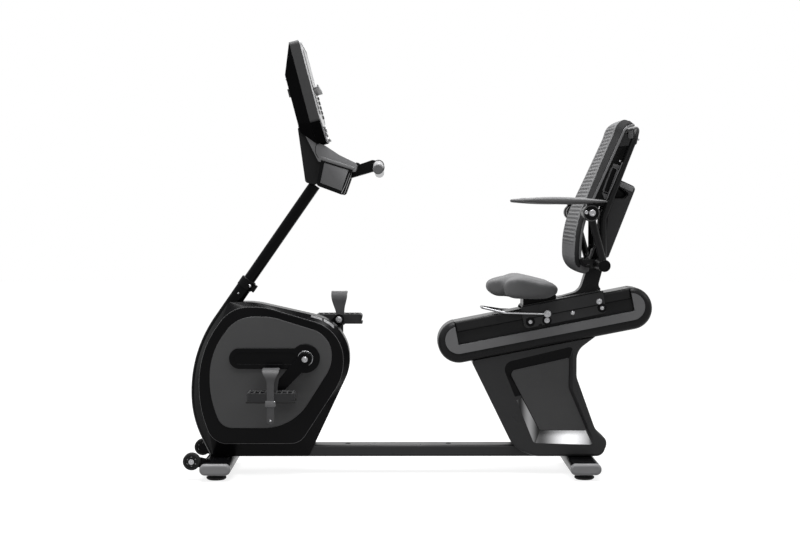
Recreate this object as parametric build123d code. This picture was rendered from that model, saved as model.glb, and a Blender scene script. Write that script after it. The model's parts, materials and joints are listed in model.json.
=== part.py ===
"""Recumbent exercise bike: drive housing, mast and console, seat on a tilted rail.

Millimetres. -X is the front, where the drive and the console are, +X the seat end,
-Y the rider's left and +Z up. The floor is z = 0.
"""
from build123d import *
import os
from math import cos, radians, sin, tan

# Clearances
FIT = 0.3  # between pieces that seat on one another
RUN = 0.05  # radial, between a shaft and its bore
SIDE_RUN = 0.5  # between the end faces of turning pieces

# Floor frame
FOOT_DEPTH = 103.0  # along X
FOOT_HEIGHT = 38.0
FOOT_CORNER = 18.0
FOOT_HALF_SPAN = 190.0  # beam without its end caps
FOOT_CAP = 15.0
PAD_HEIGHT = 20.0
PAD_RADIUS = 33.0
PAD_INSET = 42.0  # pad centre from the beam's end
FRONT_FOOT_X = -679.5
REAR_FOOT_X = 549.0
BEAM_HEIGHT = 40.0
BEAM_WIDTH = 76.0
BEAM_CORNER = 9.0

FOOT_TOP = PAD_HEIGHT + FOOT_HEIGHT
BEAM_TOP = FOOT_TOP + BEAM_HEIGHT

# Transport wheels
WHEEL_RADIUS = 29.0
WHEEL_WIDTH = 24.0
WHEEL_X = FRONT_FOOT_X - 80.5
WHEEL_Z = 62.0
WHEEL_Y = 160.0
WHEEL_BORE = 5.0
WHEEL_HUB_WALL = 5.0
WHEEL_TREAD = 8.0  # from the rim in to the web
WHEEL_DISH = 5.0  # depth of the web on each side
WHEEL_EDGE = 5.0
BRACKET_WALL = 5.0

# Drive housing
SHROUD_CORE = 40.0  # half width at full outline
SHROUD_HALF = 65.0  # half width at the side faces
RING_WALL = 4.0
PANEL_WALL = 3.0
COVER_WALL = 6.0

# Cranks and pedals
CRANK_X = -386.0
CRANK_Z = 397.0
CRANK_LENGTH = 161.0
CRANK_ANGLE = 47.8  # right arm above the horizontal, towards the rear
SPINDLE_RADIUS = 12.0
BOSS_RADIUS = 49.0
BADGE_HALF = 35.0
BADGE_FRONT_X = -643.0
ARM_INNER = 94.0
ARM_WALL = 16.0
HUB_RADIUS = 24.0
ARM_TIP_RADIUS = 18.0
AXLE_RADIUS = 7.0
PEDAL_LENGTH = 168.0
PEDAL_WIDTH = 92.0
PEDAL_HEIGHT = 33.0
PEDAL_INNER = 117.0
PEDAL_TAPER = 8.0  # each end, towards the underside
PEDAL_CORNER = 26.0  # seen from above
TREAD_RIM = 7.0
TREAD_DEPTH = 2.5
STRAP_WIDTH = 24.0  # of the outer run and the tail
STRAP_ROOT = 36.0  # of the inner run, at the pedal
STRAP_WALL = 4.0
STRAP_FLARE = 28.0  # half width at the top
STRAP_BEND = 30.0
STRAP_RISE = 96.0  # top of the strap above the axle
STRAP_TAIL = 86.0  # below the axle

# Mast
MAST_DIAMETER = 40.0
MAST_TILT = 55.2  # above the horizontal
MAST_X = -579.5  # point of the axis at the top of the collar
MAST_Z = 661.0
MAST_LENGTH = 392.0  # from that point to the neck
MAST_FOOT = 150.0  # length inside the spine
NECK_SOCKET = 60.0  # length inside the neck
COLLAR_HEIGHT = 34.0
COLLAR_DIAMETER = 54.0
SPINE_DEPTH = 50.0
SPINE_WIDTH = 48.0
SPINE_CORNER = 20.0

# Console, neck and handlebar
CONSOLE_X = -330.0  # middle of the face's lower edge
CONSOLE_Z = 1193.0
CONSOLE_HALF = 200.0
CONSOLE_TILT = 14.7  # off the vertical
CONSOLE_RIM = 33.0
CONSOLE_BULGE = 43.0
NECK_HALF = 42.0
FASCIA_INSET = 6.0
FASCIA_WALL = 3.0
NECK_COVER_HALF = 88.0
TRAY_OUTER = 150.0
TRAY_WALL = 4.0
BAR_DIAMETER = 34.0
BAR_X = -138.0
BAR_Z = 1047.0
BAR_HALF = 318.0
BAR_DROP = 17.0
BAR_BEND = 130.0  # where each half begins to slope down
BAR_ARM_HALF = 30.0
GRIP_INNER = 150.0
GRIP_WALL = 2.0
GRIP_CAP = 9.0

# Seat rail, drawn along its own slope
RAIL_TILT = 11.0
RAIL_X = 425.5
RAIL_Z = 507.5
CAPSULE_RADIUS = 72.0
CAPSULE_REACH = 297.0  # centre to each end arc's centre
CAPSULE_HALF = 68.0
CAPSULE_EDGE = 24.0  # rounding of the capsule's long edges
RING_RADIUS = 46.0  # of the face plate's ends
RING_RISE = 7.0
RAIL_FRONT = -301.0
RAIL_REAR = 305.0
RAIL_FLOOR = -9.0
RAIL_STEP = 32.5
RAIL_TOP = 70.5
RAIL_HEAD_HALF = 62.0
RAIL_WEB_HALF = 52.0
RAIL_HEAD_EDGE = 8.0

# Pedestal
PEDESTAL_HALF = 56.0
PEDESTAL_EDGE = 10.0
INSET_DEPTH = 14.0  # of the recess in each side

# Seat carriage
PLATE_WALL = 4.0
PLATE_INNER = 66.0
CARRIAGE_FRONT = -71.0
CARRIAGE_REAR = 211.0
CARRIAGE_TOP = 81.0
FLANGE_WALL = 1.5  # thicker upper half of the side plates
FLANGE_STEP = 36.0
ROLLER_RADIUS = 10.4
ROLLER_FRONT = -47.0
ROLLER_REAR = 199.0

SEAT_BLOCK_HALF = 60.0
SEAT_HALF = 205.0
NOSE_HALF = 80.0
LEVER_X = 430.0
LEVER_Y = 84.0
LEVER_Z = 548.0
LEVER_WIRE = 8.0
LEVER_BEND = 18.0
PIVOT_RADIUS = 12.0

# Backrest and armrests
CROSS_DIAMETER = 40.0
CROSS_X = 603.0
CROSS_Z = 715.0
BACK_TUBE_DIAMETER = 24.0
BACK_TUBE_Y = 150.0
BACK_BEND_Z = 872.0
BACK_TOP_X = 720.0
BACK_TOP_Z = 1165.0
BACK_HALF = 208.0
BACK_LOW = 676.0
BACK_HIGH = 1213.0
BACK_CORNER = 90.0
BACK_FLAT = 130.0  # half width of the pad's front face
BACK_PAD_WALL = 26.0
BACK_SHELL_WALL = 8.0
COVER_HALF = 120.0
POST_HALF = 28.0
LUMBAR_INNER = 45.0
LUMBAR_OUTER = 85.0
ARM_HINGE_X = 551.0
ARM_HINGE_Z = 888.0
ARM_HUB_RADIUS = 27.0
ARM_BARREL_RADIUS = 24.0
ARM_BARREL_INNER = BACK_HALF + 4
ARM_HUB_INNER = BACK_HALF + 54
ARM_HUB_OUTER = BACK_HALF + 88
ARM_PIN_RADIUS = 8.0
ARM_CARRIER_HALF = 15.0
ARM_PAD_INNER = BACK_HALF + 42
ARM_PAD_OUTER = BACK_HALF + 96
CROSS_HALF = BACK_HALF + 17

MACHINE_HEIGHT = 1500.0  # more than the tallest piece
SIDES = ((-1, "left"), (1, "right"))

# Outlines in side view: x, z, corner radius
SHROUD_CORE_ROWS = (
    (-765.5, 415.0, 430.0),
    (-765.5, 193.0, 320.0),
    (-700.0, 60.0, 10.0),
    (-376.0, 60.0, 12.0),
    (-237.0, 356.0, 145.0),
    (-237.0, 513.0, 148.0),
    (-557.0, 585.5, 280.0),
    (-647.0, 585.5, 12.0),
)
SHROUD_SIDE_ROWS = (
    (-745.5, 420.0, 335.0),
    (-745.5, 233.0, 390.0),
    (-699.5, 107.0, 70.0),
    (-405.0, 108.0, 55.0),
    (-258.0, 334.0, 175.0),
    (-258.0, 491.0, 134.0),
    (-526.0, 570.0, 240.0),
    (-636.4, 570.0, 118.0),
)
PANEL_ROWS = (
    (-709.5, 414.0, 245.0),
    (-709.5, 267.0, 320.0),
    (-670.6, 160.0, 54.0),
    (-431.0, 160.0, 176.0),
    (-296.5, 370.0, 120.0),
    (-296.5, 474.0, 90.0),
    (-501.7, 538.0, 190.0),
    (-617.5, 538.0, 112.0),
)
SPINE_PATH = ((-598.9, 633.1), (-754.5, 409.4), (-754.5, 195.7), (FRONT_FOOT_X + 2.5, 38.0))
SPINE_BENDS = (425.0, 325.0)
PEDESTAL_ROWS = (
    (172.0, 392.0, 20.0),
    (322.0, 86.0, 90.0),
    (392.0, 60.0, 70.0),
    (622.0, 60.0, 30.0),
    (642.0, 112.0, 30.0),
    (598.0, 152.0, 60.0),
    (534.0, 330.0, 60.0),
    (534.0, 420.0, 60.0),
    (640.0, 500.0, 20.0),
    (600.0, 520.0, 20.0),
)
INSET_ROWS = (
    (278.0, 378.0, 30.0),
    (388.0, 106.0, 14.0),
    (598.0, 100.0, 14.0),
    (520.0, 290.0, 60.0),
    (520.0, 436.0, 12.0),
)
INSET_PANEL_ROWS = (
    (302.0, 351.0, 18.0),
    (408.0, 148.0, 8.0),
    (571.0, 147.0, 6.0),
    (508.0, 294.0, 54.0),
    (510.0, 398.0, 6.0),
)
POST_ROWS = (
    (470.0, 600.0, 2.0),
    (546.0, 622.0, 45.0),
    (592.0, 768.0, 6.0),
    (640.0, 760.0, 6.0),
    (608.0, 640.0, 20.0),
    (622.0, 622.0, 3.0),
    (470.0, 592.0, 1.5),
)
CUSHION_ROWS = (
    (275.0, 603.0, 32.0),
    (275.0, 672.0, 36.0),
    (332.0, 690.0, 90.0),
    (472.0, 650.0, 15.0),
    (468.0, 616.0, 12.0),
    (420.0, 602.0, 60.0),
)
NOSE_ROWS = (
    (218.0, 606.0, 34.0),
    (218.0, 666.0, 26.0),
    (300.0, 682.0, 40.0),
    (340.0, 670.0, 10.0),
    (340.0, 606.0, 10.0),
)
NECK_ROWS = (
    (-413.0, 1184.0, 5.0),
    (-386.0, 990.0, 12.0),
    (-348.0, 982.0, 12.0),
    (-320.0, 1062.0, 10.0),
    (-300.0, 1090.0, 10.0),
    (-345.0, 1120.0, 10.0),
)
NECK_COVER_ROWS = (
    (-401.0, 1181.0, 4.0),
    (-340.0, 1060.0, 8.0),
    (-216.0, 1024.0, 8.0),
    (-208.0, 1052.0, 12.0),
    (-270.0, 1082.0, 60.0),
    (-318.0, 1114.0, 20.0),
    (-347.0, 1124.0, 4.0),
)
TRAY_ROWS = (
    (-344.0, 979.0, 10.0),
    (-254.0, 946.0, 10.0),
    (-222.0, 1036.0, 4.0),
    (-327.0, 1069.0, 4.0),
)
BAR_ARM_ROWS = (
    (-250.0, 1000.0, 10.0),
    (-148.0, 1030.0, 8.0),
    (-142.0, 1064.0, 8.0),
    (-160.0, 1067.0, 10.0),
    (-226.0, 1044.0, 14.0),
    (-262.0, 1050.0, 8.0),
)
ARMREST_ROWS = (
    (292.0, 931.0, 4.0),
    (455.0, 912.0, 900.0),
    (647.0, 925.0, 4.0),
    (470.0, 944.0, 900.0),
)
CUSHION_PLAN = (
    (275.0, -SEAT_HALF, 70.0),
    (472.0, -SEAT_HALF, 80.0),
    (472.0, SEAT_HALF, 80.0),
    (275.0, SEAT_HALF, 70.0),
)
NOSE_PLAN = (
    (218.0, -NOSE_HALF, 50.0),
    (340.0, -NOSE_HALF, 5.0),
    (340.0, NOSE_HALF, 5.0),
    (218.0, NOSE_HALF, 50.0),
)
SEAT_BLOCK_ROWS = (
    (350.0, 560.0, 2.0),
    (462.0, 560.0, 2.0),
    (462.0, 612.0, 4.0),
    (350.0, 612.0, 4.0),
)
BACK_COVER_ROWS = (
    (652.0, 1006.0, 10.0),
    (722.0, 974.0, 14.0),
    (628.0, 733.0, 7.0),
    (614.0, 747.0, 6.0),
    (624.0, 880.0, 60.0),
)
HAND_SLOT_ROWS = (
    (600.0, 934.0, 8.0),
    (684.0, 934.0, 11.0),
    (699.0, 950.0, 9.0),
    (668.0, 979.0, 9.0),
    (600.0, 979.0, 8.0),
)
BACK_BRACKET_ROWS = (
    (640.0, 1106.0, 6.0),
    (716.0, 1114.0, 6.0),
    (724.0, 1150.0, 6.0),
    (660.0, 1150.0, 6.0),
)

# Outlines seen from other sides
CONSOLE_OUTLINE = (
    (-110.0, -68.0, 14.0),
    (110.0, -68.0, 14.0),
    (CONSOLE_HALF, 0.0, 14.0),
    (CONSOLE_HALF, 272.0, 14.0),
    (-CONSOLE_HALF, 272.0, 14.0),
    (-CONSOLE_HALF, 0.0, 14.0),
)
BULGE_OUTLINE = (
    (-80.0, -16.0, 10.0),
    (80.0, -16.0, 10.0),
    (110.0, 10.0, 10.0),
    (110.0, 180.0, 10.0),
    (-110.0, 180.0, 10.0),
    (-110.0, 10.0, 10.0),
)
BACK_OUTLINE = (
    (-BACK_HALF, BACK_LOW, BACK_CORNER),
    (BACK_HALF, BACK_LOW, BACK_CORNER),
    (BACK_HALF, BACK_HIGH, BACK_CORNER),
    (-BACK_HALF, BACK_HIGH, BACK_CORNER),
)

# Front face of the back pad, from its top edge down: x, z, bend radius
BACK_CURVE = (
    (694.0, 1206.0, 0.0),
    (650.0, 1193.0, 60.0),
    (495.0, 846.0, 388.0),
    (495.0, 681.0, 62.0),
    (562.0, 681.0, 0.0),
)


def rounded_face(rows):
    """A flat face from rows of (x, z, corner radius), lying in the XY plane."""
    corners = [(Vector(x, z), radius) for x, z, radius in rows]
    count = len(corners)
    arcs = []
    for index, (corner, radius) in enumerate(corners):
        back = (corners[index - 1][0] - corner).normalized()
        ahead = (corners[(index + 1) % count][0] - corner).normalized()
        half = radians(back.get_angle(ahead)) / 2
        reach = radius / tan(half)
        middle = corner + (back + ahead).normalized() * (radius / sin(half) - radius)
        arcs.append((corner + back * reach, middle, corner + ahead * reach))
    edges = []
    for index, (start, middle, end) in enumerate(arcs):
        edges.append(ThreePointArc(start, middle, end))
        edges.append(Line(end, arcs[(index + 1) % count][0]))
    return make_face(edges)


def side_face(rows, y):
    """The outline as a face across the machine at y."""
    return Plane.XZ.offset(-y) * rounded_face(rows)


def plan_prism(rows):
    """A tall prism on the floor from rows of (x, y, radius), seen from above."""
    return extrude(rounded_face(rows), amount=MACHINE_HEIGHT, dir=(0, 0, 1))


def side_plate(rows, y_low, y_high):
    """The outline extruded from y_low to y_high."""
    return extrude(side_face(rows, y_high), amount=y_high - y_low, dir=(0, -1, 0))


def both(side, inner, outer):
    """Inner and outer distances as a low and a high y on the given side."""
    return min(side * inner, side * outer), max(side * inner, side * outer)


def across(x, z, radius, y_low, y_high):
    """A round bar along Y."""
    return Plane((x, y_high, z), z_dir=(0, -1, 0)) * extrude(Circle(radius), amount=y_high - y_low)


def rod(start, end, diameter):
    """A straight round bar between two points."""
    start = Vector(*start)
    run = Vector(*end) - start
    return Plane(start, z_dir=run) * extrude(Circle(diameter / 2), amount=run.length)


def bent_bar(points, bends, section):
    """A section swept along straight runs with rounded bends."""
    path = FilletPolyline(*points, radius=bends)
    start = Plane(path @ 0, x_dir=(0, 1, 0), z_dir=path % 0)
    return sweep(start * section, path=path)


def block(x_low, x_high, y_low, y_high, z_low, z_high):
    """A plain block between two corners."""
    size = (x_high - x_low, y_high - y_low, z_high - z_low)
    centre = ((x_low + x_high) / 2, (y_low + y_high) / 2, (z_low + z_high) / 2)
    return Pos(*centre) * Box(*size)


def on_rail(u, v):
    """A point along the rail and above its centre line, in side view."""
    tilt = radians(RAIL_TILT)
    return RAIL_X + u * cos(tilt) - v * sin(tilt), RAIL_Z + u * sin(tilt) + v * cos(tilt)


def rail_rows(rows):
    """Rows of (u, v, radius) on the rail as rows of (x, z, radius)."""
    return [(*on_rail(u, v), radius) for u, v, radius in rows]


def box_rows(u_low, u_high, v_low, v_high, radius):
    """A rounded rectangle as rows."""
    corners = ((u_low, v_low), (u_high, v_low), (u_high, v_high), (u_low, v_high))
    return tuple((u, v, radius) for u, v in corners)


def offset_curve(curve, distance):
    """An open curve of (x, z, radius) moved to its left by the distance."""
    points = [Vector(x, z) for x, z, radius in curve]
    runs = [(after - before).normalized() for before, after in zip(points, points[1:])]
    sides = [Vector(-run.Y, run.X) for run in runs]
    moved = [(points[0] + sides[0] * distance, 0.0)]
    for index in range(1, len(points) - 1):
        bisector = (sides[index - 1] + sides[index]).normalized()
        stretch = distance / bisector.dot(sides[index])
        turn = runs[index - 1].cross(runs[index]).Z
        radius = curve[index][2] - distance if turn > 0 else curve[index][2] + distance
        moved.append((points[index] + bisector * stretch, radius))
    moved.append((points[-1] + sides[-1] * distance, 0.0))
    return [(point.X, point.Y, radius) for point, radius in moved]


def band_rows(curve, near, far, end_radius):
    """The strip between two offsets of a curve, as rows."""
    front = offset_curve(curve, near)
    rear = offset_curve(curve, far)
    loop = front + rear[::-1]
    return [(x, z, radius if radius > 0 else end_radius) for x, z, radius in loop]


def inset_rows(rows, distance):
    """A closed outline, listed anticlockwise, moved inwards by the distance."""
    points = [Vector(x, z) for x, z, radius in rows]
    count = len(points)
    runs = [(points[(index + 1) % count] - points[index]).normalized() for index in range(count)]
    sides = [Vector(-run.Y, run.X) for run in runs]
    moved = []
    for index, (x, z, radius) in enumerate(rows):
        bisector = (sides[index - 1] + sides[index]).normalized()
        point = points[index] + bisector * (distance / bisector.dot(sides[index]))
        turn = runs[index - 1].cross(runs[index]).Z
        moved.append((point.X, point.Y, max(radius - distance, 0.5) if turn > 0 else radius + distance))
    return moved


def foot_section():
    """Rounded section of the foot beams."""
    return RectangleRounded(FOOT_DEPTH, FOOT_HEIGHT, FOOT_CORNER)


def foot_beam(x):
    """A cross beam under one end of the machine."""
    plane = Plane((x, FOOT_HALF_SPAN, PAD_HEIGHT + FOOT_HEIGHT / 2), x_dir=(1, 0, 0), z_dir=(0, -1, 0))
    return plane * extrude(foot_section(), amount=2 * FOOT_HALF_SPAN)


def foot_caps():
    """Moulded caps on the four ends of the foot beams."""
    cap = extrude(foot_section(), amount=FOOT_CAP)
    cap = fillet(cap.faces().sort_by(Axis.Z)[-1].edges(), FOOT_CAP * 0.6)
    caps = []
    for x in (FRONT_FOOT_X, REAR_FOOT_X):
        for side, _ in SIDES:
            centre = (x, side * FOOT_HALF_SPAN, PAD_HEIGHT + FOOT_HEIGHT / 2)
            caps.append(Plane(centre, x_dir=(1, 0, 0), z_dir=(0, side, 0)) * cap)
    return Compound(children=caps)


def levelling_feet():
    """Four rubber pads on studs."""
    half = PAD_RADIUS
    outline = Polyline(
        (0, 0), (half - 5, 0), (half, 4), (half, 9), (half - 4, 11), (half - 4, 15), (8, 17), (8, PAD_HEIGHT),
        (0, PAD_HEIGHT), (0, 0),
    )
    pad = revolve(Plane.XZ * make_face(outline), Axis.Z)
    feet = []
    for x in (FRONT_FOOT_X, REAR_FOOT_X):
        for side, _ in SIDES:
            feet.append(Pos(x, side * (FOOT_HALF_SPAN - PAD_INSET), 0) * pad)
    return Compound(children=feet)


def base_beam():
    """The long beam between the two foot beams."""
    section = RectangleRounded(BEAM_WIDTH, BEAM_HEIGHT, BEAM_CORNER)
    start = FRONT_FOOT_X + FOOT_DEPTH / 2 - 20
    end = REAR_FOOT_X + FOOT_DEPTH / 2 - 6
    plane = Plane((start, 0, FOOT_TOP + BEAM_HEIGHT / 2), x_dir=(0, 1, 0), z_dir=(1, 0, 0))
    return plane * extrude(section, amount=end - start)


def beam_channel(x_low, x_high):
    """The room that a housing leaves round the long beam."""
    half = BEAM_WIDTH / 2 + FIT
    return block(x_low, x_high, -half, half, 0, BEAM_TOP + FIT)


def wheel_bracket(side):
    """Plate that carries a transport wheel on the front foot beam."""
    rows = (
        (WHEEL_X - 13, WHEEL_Z + 13, 12.0),
        (WHEEL_X - 13, WHEEL_Z - 13, 12.0),
        (FRONT_FOOT_X - 44, FOOT_TOP - 22, 4.0),
        (FRONT_FOOT_X - 20, FOOT_TOP, 1.0),
        (FRONT_FOOT_X - 20, FOOT_TOP + 8, 4.0),
        (WHEEL_X + 20, WHEEL_Z + 13, 10.0),
    )
    inner = WHEEL_Y - WHEEL_WIDTH / 2 - SIDE_RUN - BRACKET_WALL
    return side_plate(rows, *both(side, inner, inner + BRACKET_WALL)) - foot_beam(FRONT_FOOT_X)


def wheel_axle(side):
    """Shoulder bolt that a transport wheel turns on."""
    inner = WHEEL_Y - WHEEL_WIDTH / 2 - SIDE_RUN
    outer = WHEEL_Y + WHEEL_WIDTH / 2 + SIDE_RUN
    shank = across(WHEEL_X, WHEEL_Z, WHEEL_BORE - RUN, *both(side, inner, outer))
    head = across(WHEEL_X, WHEEL_Z, WHEEL_BORE + 4, *both(side, outer, outer + 4))
    return shank + head


def transport_wheel(side):
    """Small solid wheel with a dished web."""
    low = side * WHEEL_Y - WHEEL_WIDTH / 2
    high = low + WHEEL_WIDTH
    disc = fillet(across(WHEEL_X, WHEEL_Z, WHEEL_RADIUS, low, high).edges(), WHEEL_EDGE)
    for start in (low, high - WHEEL_DISH):
        dish = across(WHEEL_X, WHEEL_Z, WHEEL_RADIUS - WHEEL_TREAD, start, start + WHEEL_DISH)
        hub = across(WHEEL_X, WHEEL_Z, WHEEL_BORE + WHEEL_HUB_WALL, start, start + WHEEL_DISH)
        disc -= dish - hub
    return disc - across(WHEEL_X, WHEEL_Z, WHEEL_BORE, low, high)


def mast_point(along):
    """A point of the mast's axis, from the collar's top upwards."""
    tilt = radians(MAST_TILT)
    return MAST_X + along * cos(tilt), MAST_Z + along * sin(tilt)


def mast_core(low, high, diameter):
    """A round bar on the mast's axis between two distances along it."""
    bottom_x, bottom_z = mast_point(low)
    top_x, top_z = mast_point(high)
    return rod((bottom_x, 0, bottom_z), (top_x, 0, top_z), diameter)


def spine_bar(gap):
    """The curved bar, grown by a gap where something makes room for it."""
    section = RectangleRounded(SPINE_WIDTH + 2 * gap, SPINE_DEPTH + 2 * gap, SPINE_CORNER)
    return bent_bar([(x, 0, z) for x, z in SPINE_PATH], SPINE_BENDS, section)


def front_spine():
    """Curved frame member from the front foot beam up to the mast."""
    bar = spine_bar(0)
    corner = bar.bounding_box().min
    bar -= block(corner.X - 10, 0, -SPINE_WIDTH, SPINE_WIDTH, corner.Z - 10, FOOT_TOP)
    return bar - mast_core(-MAST_FOOT, 0, MAST_DIAMETER + 2 * RUN) - base_beam()


def mast_tube():
    """Straight mast from inside the spine to the neck."""
    return mast_core(-MAST_FOOT, MAST_LENGTH, MAST_DIAMETER)


def mast_collar():
    """Clamp collar at the foot of the mast, with its bolt ears."""
    bottom = mast_point(-COLLAR_HEIGHT + FIT)
    tilt = radians(MAST_TILT)
    plane = Plane((bottom[0], 0, bottom[1]), x_dir=(0, 1, 0), z_dir=(cos(tilt), 0, sin(tilt)))
    height = COLLAR_HEIGHT - FIT
    ring = extrude(Circle(COLLAR_DIAMETER / 2), amount=height)
    ring = fillet(ring.edges().group_by(Axis.Z)[-1], 4)
    ears = Pos(0, -COLLAR_DIAMETER / 2 - 2, height / 2) * Box(26, 16, height - 8)
    slit = Pos(0, -COLLAR_DIAMETER / 2, height / 2) * Box(3, 30, height + 2)
    bore = Pos(0, 0, height / 2) * Cylinder(MAST_DIAMETER / 2 + RUN, height + 2)
    return plane * (ring + ears - slit - bore)


def drive_shroud():
    """Closed housing round the flywheel, with crowned edges."""
    body = side_plate(SHROUD_CORE_ROWS, -SHROUD_CORE, SHROUD_CORE)
    for side, _ in SIDES:
        inner = side_face(SHROUD_CORE_ROWS, side * SHROUD_CORE)
        outer = side_face(SHROUD_SIDE_ROWS, side * SHROUD_HALF)
        body += loft([inner, outer], ruled=True)
    corner = body.bounding_box().min
    body -= beam_channel(corner.X - 10, 0)
    body -= spine_bar(FIT)
    return body - across(CRANK_X, CRANK_Z, SPINDLE_RADIUS + SIDE_RUN, -SHROUD_HALF, SHROUD_HALF)


def shroud_ring(side):
    """Dark side frame of the housing."""
    outer = SHROUD_HALF + RING_WALL
    plate = side_plate(SHROUD_SIDE_ROWS, *both(side, SHROUD_HALF, outer))
    rim = plate.faces().sort_by(Axis.Y)[-1 if side > 0 else 0].edges()
    plate = fillet(rim, RING_WALL * 0.7)
    return plate - side_plate(PANEL_ROWS, *both(side, SHROUD_HALF, outer))


def shroud_panel(side):
    """Grey side panel, set into the dark frame."""
    outer = SHROUD_HALF + RING_WALL + PANEL_WALL
    plate = side_plate(PANEL_ROWS, *both(side, SHROUD_HALF, outer))
    rim = plate.faces().sort_by(Axis.Y)[-1 if side > 0 else 0].edges()
    plate = fillet(rim, PANEL_WALL * 0.7)
    return plate - across(CRANK_X, CRANK_Z, SPINDLE_RADIUS + SIDE_RUN, *both(side, SHROUD_HALF, outer))


def crank_cover(side):
    """Long oval cover with a round boss at the crank."""
    inner = SHROUD_HALF + RING_WALL + PANEL_WALL
    outer = inner + COVER_WALL
    front = BADGE_FRONT_X + BADGE_HALF
    low, high = both(side, inner, outer)
    bar = block(front, CRANK_X, low, high, CRANK_Z - BADGE_HALF, CRANK_Z + BADGE_HALF)
    end = across(front, CRANK_Z, BADGE_HALF, low, high)
    boss = across(CRANK_X, CRANK_Z, BOSS_RADIUS, *both(side, inner, outer))
    cover = bar + end + boss
    rim = cover.faces().sort_by(Axis.Y)[-1 if side > 0 else 0].edges()
    cover = fillet(rim, 2.5)
    half_slot = (CRANK_X - BOSS_RADIUS - front) / 2
    recess = SlotCenterToCenter(2 * half_slot, BADGE_HALF * 1.15)
    plane = Plane((front + half_slot, side * outer, CRANK_Z), x_dir=(1, 0, 0), z_dir=(0, -side, 0))
    cover -= plane * extrude(recess, amount=1.5)
    return cover - across(CRANK_X, CRANK_Z, SPINDLE_RADIUS + SIDE_RUN, *both(side, inner, outer))


def crank_tip(side):
    """Where the pedal's axle meets the crank arm on a side."""
    angle = radians(CRANK_ANGLE)
    return CRANK_X + side * CRANK_LENGTH * cos(angle), CRANK_Z + side * CRANK_LENGTH * sin(angle)


def crank_spindle():
    """Spindle through the housing, out to both crank arms."""
    reach = ARM_INNER
    return across(CRANK_X, CRANK_Z, SPINDLE_RADIUS, -reach, reach)


def crank_arm(side):
    """Flat tapered arm with round ends."""
    tip_x, tip_z = crank_tip(side)
    low, high = both(side, ARM_INNER, ARM_INNER + ARM_WALL)
    hub = across(CRANK_X, CRANK_Z, HUB_RADIUS, low, high)
    tip = across(tip_x, tip_z, ARM_TIP_RADIUS, low, high)
    run = Vector(tip_x - CRANK_X, tip_z - CRANK_Z).normalized()
    wide = Vector(-run.Y, run.X)
    hub_centre = Vector(CRANK_X, CRANK_Z)
    tip_centre = Vector(tip_x, tip_z)
    corners = [
        hub_centre + wide * (HUB_RADIUS - 0.5),
        tip_centre + wide * (ARM_TIP_RADIUS - 0.2),
        tip_centre - wide * (ARM_TIP_RADIUS - 0.2),
        hub_centre - wide * (HUB_RADIUS - 0.5),
    ]
    web = make_face(Polyline(*corners, close=True))
    web = extrude(Plane.XZ.offset(-high) * web, amount=high - low, dir=(0, -1, 0))
    arm = hub + tip + web
    rim = arm.faces().sort_by(Axis.Y)[-1 if side > 0 else 0].edges()
    return fillet(rim, 2.0)


def crank_bolt(side):
    """Round bolt head that closes the crank arm's hub."""
    start = ARM_INNER + ARM_WALL
    return across(CRANK_X, CRANK_Z, 10.0, *both(side, start, start + 4))


def pedal_axle(side):
    """Axle that stands out of the crank arm."""
    tip_x, tip_z = crank_tip(side)
    start = ARM_INNER + ARM_WALL
    return across(tip_x, tip_z, AXLE_RADIUS, *both(side, start, PEDAL_INNER + PEDAL_WIDTH - 12))


def pedal(side):
    """Wide platform pedal with a narrower underside, a rimmed tread and two openings."""
    tip_x, tip_z = crank_tip(side)
    half = PEDAL_LENGTH / 2
    rise = PEDAL_HEIGHT / 2
    rows = (
        (tip_x - half + PEDAL_TAPER, tip_z - rise, 13.0),
        (tip_x + half - PEDAL_TAPER, tip_z - rise, 13.0),
        (tip_x + half, tip_z + rise, 9.0),
        (tip_x - half, tip_z + rise, 9.0),
    )
    low, high = both(side, PEDAL_INNER, PEDAL_INNER + PEDAL_WIDTH)
    middle = (low + high) / 2
    outline = RectangleRounded(PEDAL_LENGTH, PEDAL_WIDTH, PEDAL_CORNER)
    core = Pos(tip_x, middle, tip_z) * extrude(outline, amount=PEDAL_HEIGHT, both=True)
    tread = RectangleRounded(
        PEDAL_LENGTH - 2 * TREAD_RIM, PEDAL_WIDTH - 2 * TREAD_RIM, PEDAL_CORNER - TREAD_RIM)
    body = side_plate(rows, low, high) & core
    body -= Pos(tip_x, middle, tip_z + rise - TREAD_DEPTH) * extrude(tread, amount=PEDAL_HEIGHT)
    window = extrude(RectangleRounded(half * 0.62, PEDAL_WIDTH * 0.56, 8), amount=PEDAL_HEIGHT, both=True)
    for end in (-1, 1):
        body -= Pos(tip_x + end * half * 0.52, middle, tip_z) * window
    return body - across(tip_x, tip_z, AXLE_RADIUS + RUN, low, high)


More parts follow.
